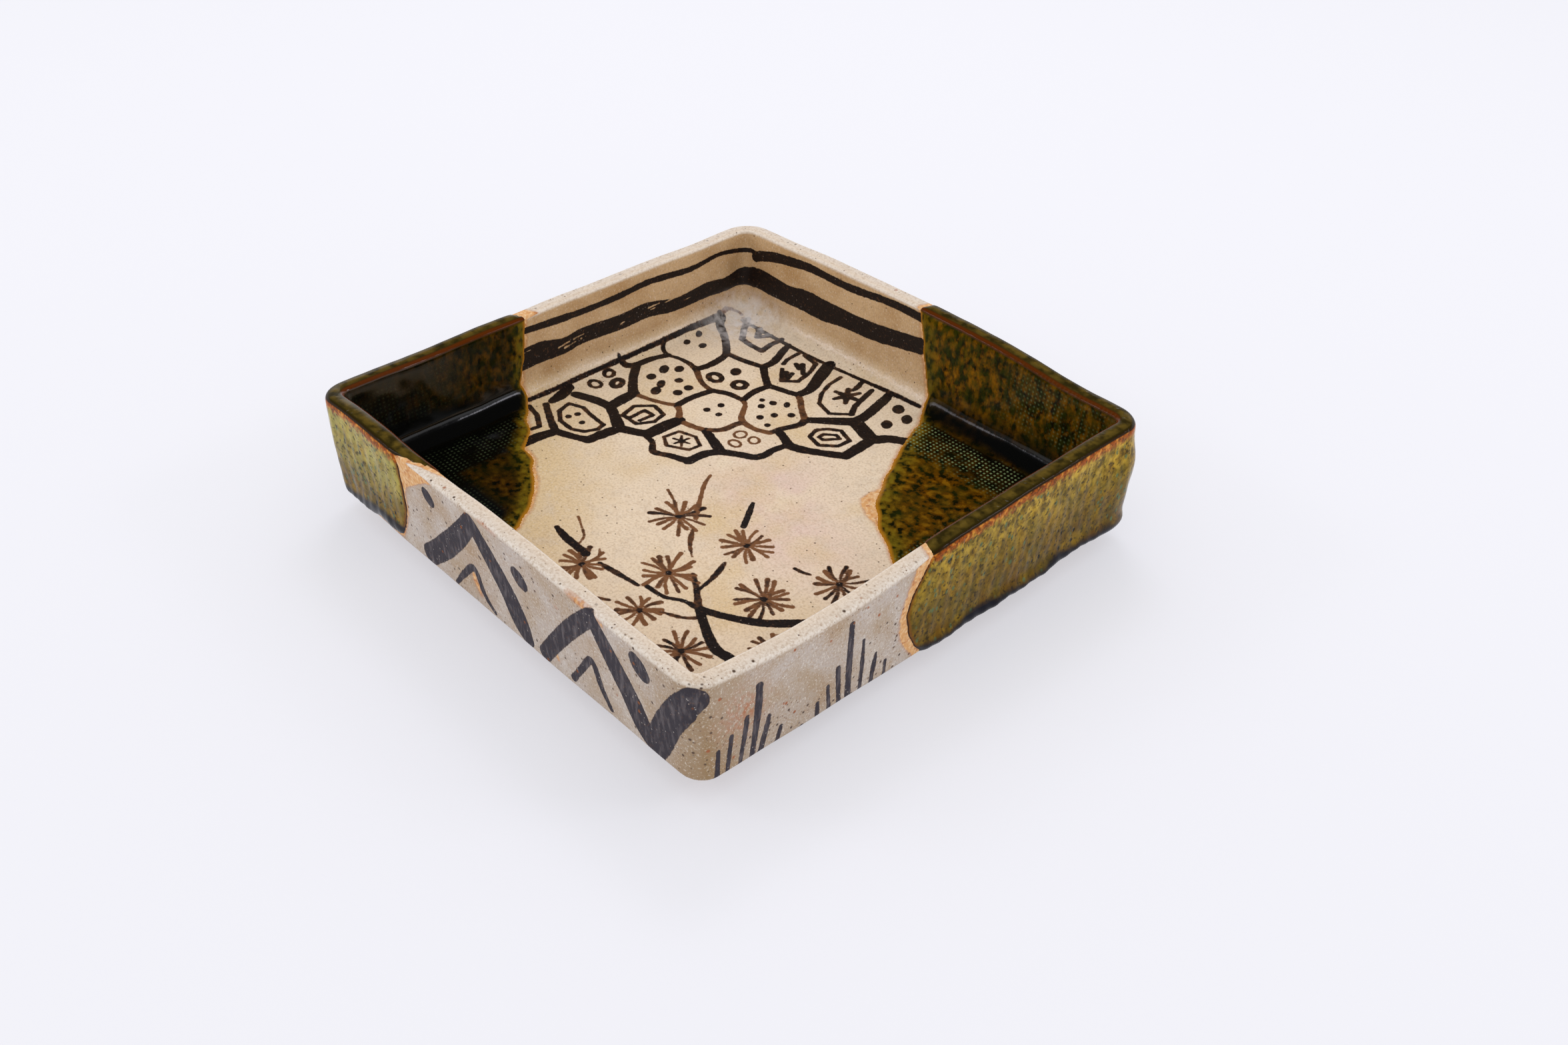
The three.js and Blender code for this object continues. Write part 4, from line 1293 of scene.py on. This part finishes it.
# %% Clear glaze over buff clay
# Pressed buff stoneware, glazed and fired: a soft shine inside, a dry grey skin outside.
finish, tree = material("clear_glaze_over_buff_clay_with_iron_brushwork")
place = add("TexCoord", give="Object")
CLAY_NOTES = ("outside", "height_mm", "bare_mm", "arris_mm", "yellowed", "blush", "toasted", "stain",
              "brush_mm", "brush_load", "underside", "milky")
noted = {name: add("Attribute", give="Fac", attribute_name=name) for name in CLAY_NOTES}
outside, height, bare, arris = (noted[name] for name in CLAY_NOTES[:4])

climbing = add("MapRange", {"Value": height, "From Min": 17.5, "From Max": 24})
floor = layered("#E7D2B6",
                ("#D9BC8C", noted["yellowed"], 0.8),
                ("#DFC2B4", noted["blush"], cloud(16, 0.25, 0.5, most=0.8)),
                ("#DCC198", cloud(30, 0.5, 0.75, shift=0.7)),
                ("#D6C3AC", cloud(7, 0.5, 0.72, most=0.5, detail=4, shift=0.1)))
walls = layered("#D2B086", ("#BC9668", cloud(17, 0.4, 0.7)))
outer = layered("#BFB2A8",
                ("#B09A82", cloud(13, 0.38, 0.66, detail=4)),
                ("#D2C9C0", cloud(19, 0.54, 0.72, most=0.8, detail=3, shift=0.8)),
                ("#A58562", cloud(24, 0.56, 0.74, most=0.8, detail=3, shift=0.4)),
                ("#94774F", noted["toasted"]),
                ("#A8643A", noted["stain"], cloud(2.2, 0.4, 0.62, detail=3)))
rim = add("MapRange", {"Value": height, "From Min": 50.2, "From Max": 51.6, "To Max": 0.7})
# The arrises are drawn paler, partly worn clay and partly a painted highlight.
pale_arris_and_highlight = add("MapRange", {"Value": arris, "From Min": 1.3, "From Max": 0.2, "To Max": 0.5})
clay = layered(floor, (walls, climbing), (outer, outside), ("#DCCDBB", rim), ("#F1E9DF", pale_arris_and_highlight))

# %% Grain, specks and flashed edges
grainy = add("MapRange", {"Value": outside, "To Min": 0.35, "To Max": 0.55})
clay = layered(clay,
               ("#A07E58", cloud(0.9, 0.45, 0.72), grainy),
               ("#F6EEE2", cloud(0.7, 0.55, 0.78, shift=0.2), grainy),
               ("#5E4630", grains(2.6, 0.8, 0.26, 0.9)),
               ("#4A3828", grains(9, 1.1, 0.35, 0.8, shift=0.45)),
               ("#6E4A2C", grains(1.5, 0.7, 0.26, 0.9, shift=0.3), outside),
               ("#EFEAE4", grains(2.4, 0.6, 0.12, 0.8, shift=0.6), outside),
               ("#4E3520", grains(3.2, 1.4, 0.45, shift=0.2), outside),
               ("#9C5422", grains(6.5, 1.7, 0.40, shift=0.5), outside))
edge = add("MapRange", {"Value": bare, "From Min": -1.4, "From Max": 0.3, "To Max": 0.6})
ragged = add("Math", {0: bare, 1: cloud(2.0, 0.3, 0.7)}, operation="ADD")
flash = add("MapRange", {"Value": ragged, "From Min": 0.2, "From Max": 0.7})
flashed = layered("#D9A063",
                  ("#E9C393", cloud(1.4, 0.42, 0.7)),
                  ("#B05E1C", cloud(2.2, 0.54, 0.68, most=0.7, shift=0.6)))
clay = layered(clay, ("#B4682A", edge), (flashed, flash))

# %% Iron brushwork
rough_edge = cloud(1.1, 0.2, 0.8, most=0.36, detail=3)
gap = add("Math", {0: noted["brush_mm"], 1: rough_edge}, operation="ADD")
painted = add("MapRange", {"Value": gap, "From Min": 0.36, "From Max": 0.10})
thin_edge = add("MapRange", {"Value": gap, "From Min": -0.2, "From Max": 0.3, "To Max": 0.4})
dry = cloud(2.4, 0.3, 0.7, most=0.38, detail=3, shift=0.9)
wet = noted["brush_load"]
for drier in (dry, thin_edge):
    wet = add("Math", {0: wet, 1: drier}, operation="SUBTRACT")
wet = add("MapRange", {"Value": wet, "From Min": 0.05, "From Max": 0.6})
streaks = cloud(1.5, 0.48, 0.74, most=0.75, detail=3, stretch=(1, 1, 0.25), shift=0.35)
# Outside, the iron is drawn grey with lighter streaks, partly its dry matte surface and partly a painted
# sheen. The fine pale specks over all of the iron are partly pinholes and partly painted glints.
iron = layered("#7A4F2E",
               ("#1E1512", wet),
               ("#38333A", outside),
               ("#6E6668", streaks, outside),
               ("#4E3626", thin_edge, outside),
               ("#B5ADA6", grains(1.7, 0.6, 0.35, 0.8, shift=0.8), outside),
               ("#8C8078", grains(1.5, 0.6, 0.22, 0.6, shift=0.5)),
               ("#8A5F3C", cloud(1.0, 0.6, 0.8, most=0.35, shift=0.1)),
               ("#8E5228", grains(4, 1.6, 0.22, 0.8, shift=0.15), outside))
toast = layered("#B89469", ("#C47B45", cloud(24, 0.4, 0.7)))
# The near-white patch in the far corner is painted glare.
coat = layered(clay,
               (iron, painted),
               ("#FBF6F6", noted["milky"], cloud(4, 0.3, 0.62, most=0.8, detail=4, shift=0.25)),
               (toast, noted["underside"]))

# %% The feel of the clay
# The glaze lies in a fine orange peel over pressed clay. Paint and bare clay are drier than the glaze.
peel = add("Math", {0: cloud(0.7, 0.3, 0.7, most=0.04), 1: cloud(5, 0.3, 0.7, most=0.12, shift=0.15)},
           operation="ADD")
relief = add("Math", {0: peel, 1: grains(2.6, 0.7, 0.20, 0.12)}, operation="SUBTRACT")
bump = add("Bump", {"Height": relief, "Distance": MM, "Strength": 1.0})
rough = add("MapRange", {"Value": outside, "To Min": 0.2, "To Max": 0.5})
matt = painted
for dry_place in (flash, noted["underside"]):
    matt = add("Math", {0: matt, 1: dry_place}, operation="MAXIMUM")
rough = add("Math", {0: matt, 1: 0.2, 2: rough}, operation="MULTIPLY_ADD")
add("OutputMaterial", {"Surface": add("BsdfPrincipled", {
    "Base Color": coat, "Roughness": rough, "IOR": 1.5, "Normal": bump,
    "Specular IOR Level": add("MapRange", {"Value": painted, "To Min": 0.5, "To Max": 0.2})})})
body.data.materials.append(finish)
print("clay finish:", len(tree.nodes), "nodes")

# %% [markdown]
# ## The copper green
# Copper glaze is brown where it is thin, olive where it is thicker and nearly black in the pools. Under
# the rim it burns to rust, and where it stopped it rolled up into a blue-black bead. It ran down in
# faint ribs, left pits outside, and kept the weave of the cloth that lined the mould. The coat on the
# left is paler outside and darker inside than the one on the right.

# %% The green inside
# Poured copper glass, fired until it ran: a wet shine, deep in the coves and mottled where it is thin.
glass, tree = material("copper_green_glass")
place = add("TexCoord", give="Object")
GLASS_NOTES = ("outside", "arris_mm", "drop_mm", "depth_mm", "pool", "cloth_u", "cloth_v", "cloth", "runs",
               "pale", "bead", "rim_flat")
noted = {name: add("Attribute", give="Fac", attribute_name=name) for name in GLASS_NOTES}
outside, arris, drop, depth, pool = (noted[name] for name in GLASS_NOTES[:5])

blots = cloud(3.0, 0.36, 0.64, detail=4, stretch=(1, 1, 0.75))
thin_blots, some_blots, full_blots = (add("MapRange", {"Value": blots, "From Min": low, "From Max": high})
                                      for low, high in ((0.1, 0.5), (0.3, 0.9), (0.65, 1.0)))
spread = cloud(9, 0.35, 0.65, detail=3, shift=0.4)
near_edge = add("MapRange", {"Value": depth, "From Min": 9, "From Max": 3})
on_wall = add("MapRange", {"Value": noted["cloth_v"], "From Min": 9, "From Max": 18})
inner = layered("#131003",
                ("#5A3602", thin_blots),
                ("#7B5209", full_blots),
                ("#966208", some_blots, on_wall, 0.8),
                ("#3A3C08", cloud(2.0, 0.42, 0.62, detail=4, stretch=(1, 1, 0.6), shift=0.55), on_wall, 0.7),
                ("#101206", cloud(1.7, 0.52, 0.68, detail=3, stretch=(1, 1, 0.7), shift=0.75), on_wall, 0.6),
                ("#262C08", spread, 0.55),
                ("#6E6014", near_edge, blots, 0.75),
                ("#050503", pool))

# %% The green outside
runs = add("MapRange", {"Value": noted["runs"], "From Min": -1})
high_up = add("MapRange", {"Value": drop, "From Min": 26, "From Max": 2})
low_down = add("MapRange", {"Value": drop, "From Min": 14, "From Max": 38})
outer = layered("#5A4304",
                ("#94700E", cloud(2.4, 0.40, 0.60, detail=4, stretch=(1, 1, 0.75)), 0.85),
                ("#8E680E", runs, cloud(5, 0.42, 0.62, stretch=(1, 1, 0.4), shift=0.1), 0.45),
                ("#CFA93A", high_up, cloud(2.6, 0.40, 0.64, detail=4, stretch=(1, 1, 0.8), shift=0.2)),
                ("#B9AE5E", noted["pale"], cloud(6, 0.25, 0.55, detail=4)),
                ("#573606", low_down, cloud(4, 0.35, 0.6, stretch=(1, 1, 0.6), shift=0.9), 0.8),
                ("#4A4E0C", spread, 0.35),
                ("#4C6C4C", grains(2.6, 1.9, 0.30, 0.7, stretch=(1, 1, 0.7), shift=0.7)),
                ("#2A2004", cloud(1.4, 0.54, 0.68, most=0.85, detail=3)),
                ("#16130A", grains(2.8, 1.5, 0.36, stretch=(1, 1, 0.6), shift=0.4)))
colour = layered(inner, (outer, outside))

# %% Thin edges, rust and the bead
ragged = add("Math", {0: drop, 1: cloud(2.2, 0.25, 0.75, most=3.2, detail=3)}, operation="ADD")
burnt = add("MapRange", {"Value": ragged, "From Min": 5.6, "From Max": 3.6, "To Max": 0.95})
below_arris = add("MapRange", {"Value": drop, "From Min": 0.3, "From Max": 0.8})
rust = layered("#9A4A0C",
               ("#5C2A06", cloud(1.3, 0.46, 0.66)),
               ("#D38834", cloud(2.2, 0.50, 0.68, shift=0.3)))
thin = layered("#A06A18", ("#7A4A16", outside))
thinnest = add("MapRange", {"Value": depth, "From Min": 1.5, "From Max": 0.4})
very_edge = add("MapRange", {"Value": depth, "From Min": 0.5, "From Max": 0.2})
on_rim = add("MapRange", {"Value": drop, "From Min": 1.5, "From Max": 0.7})
inner_lip = add("MapRange", {"Value": arris, "From Min": 0.9, "From Max": 0.3, "To Max": 0.8})
inward = add("MapRange", {"Value": outside, "From Min": 0.5, "From Max": 0.2})
bare_line = add("MapRange", {"Value": arris, "From Min": 0.5, "From Max": 0.25})
colour = layered(colour,
                 (thin, thinnest),
                 ("#3A2210", very_edge, outside),
                 ("#12121C", noted["bead"]),
                 ("#2C240A", on_rim),
                 ("#5C4A1A", noted["rim_flat"], cloud(4, 0.35, 0.6)),
                 ("#5E2806", inner_lip, inward),
                 (rust, burnt, below_arris, outside),
                 ("#2A1C0A", bare_line, outside))

# %% The weave of the cloth
# The real cloth has a thread every 1.1 mm, too fine to show in the render, so it is drawn coarser.
CLOTH_STEP = 1.8
woven = add("Math", {0: noted["cloth"], 1: cloud(8, 0.37, 0.56, shift=0.5)}, operation="MULTIPLY")
for way in ("cloth_u", "cloth_v"):
    turns = add("Math", {0: noted[way], 1: 2 * math.pi / CLOTH_STEP}, operation="MULTIPLY")
    thread = add("Math", {0: turns}, operation="SINE")
    hole = add("MapRange", {"Value": thread, "From Min": -0.1, "From Max": 0.6})
    woven = add("Math", {0: woven, 1: hole}, operation="MULTIPLY")
colour = layered(colour, ("#7F9266", woven))

# %% Pits and gloss
pits = add("Math", {0: grains(2.8, 1.5, 0.36, 0.22, stretch=(1, 1, 0.6), shift=0.4), 1: outside},
           operation="MULTIPLY")
relief = add("Math", {0: cloud(3, 0.3, 0.7, most=0.06, stretch=(1, 1, 0.5)), 1: pits}, operation="SUBTRACT")
relief = add("Math", {0: woven, 1: 0.06, 2: relief}, operation="MULTIPLY_ADD")
calm = add("MapRange", {"Value": pool, "To Min": 1.0, "To Max": 0.2})
bump = add("Bump", {"Height": relief, "Distance": MM, "Strength": calm})
shine = add("MapRange", {"Value": pool, "From Min": 0.75, "To Min": 0.07, "To Max": 0.4})
shine = add("Mix", {"Factor": outside, 2: shine, 3: 0.07})
add("OutputMaterial", {"Surface": add("BsdfPrincipled", {
    "Base Color": colour, "Roughness": 0.12, "IOR": 1.55, "Specular IOR Level": shine, "Normal": bump})})
for piece in green_coats.values():
    piece.data.materials.append(glass)
print("green glass:", len(tree.nodes), "nodes")

# %% Bare clay of the feet
# Unglazed stoneware, pressed by hand: dry, sandy and toasted by the fire.
bare_clay, tree = material("bare_toasted_stoneware")
place = add("TexCoord", give="Object")
colour = layered("#BE9C73",
                 ("#C27F4A", cloud(9, 0.4, 0.7)),
                 ("#8C6848", cloud(0.8, 0.5, 0.75, most=0.5)),
                 ("#5E4630", grains(1.9, 0.4, 0.3)))
bump = add("Bump", {"Height": cloud(0.6, 0.3, 0.7, most=0.06), "Distance": MM, "Strength": 1.0})
add("OutputMaterial", {"Surface": add("BsdfPrincipled", {
    "Base Color": colour, "Roughness": 0.8, "IOR": 1.5, "Normal": bump})})
for foot in feet.values():
    foot.data.materials.append(bare_clay)

# %% Joining the pieces to the CAD body
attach(body, "root")
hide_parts("bowl_body")
for name, piece in green_coats.items():
    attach(piece, "root")
    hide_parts(f"green_glaze_{name}")
for name, foot in feet.items():
    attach(foot, "root")
    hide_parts(f"foot_{name}")

# %% The view transform
bpy.context.scene.view_settings.view_transform = "Standard"
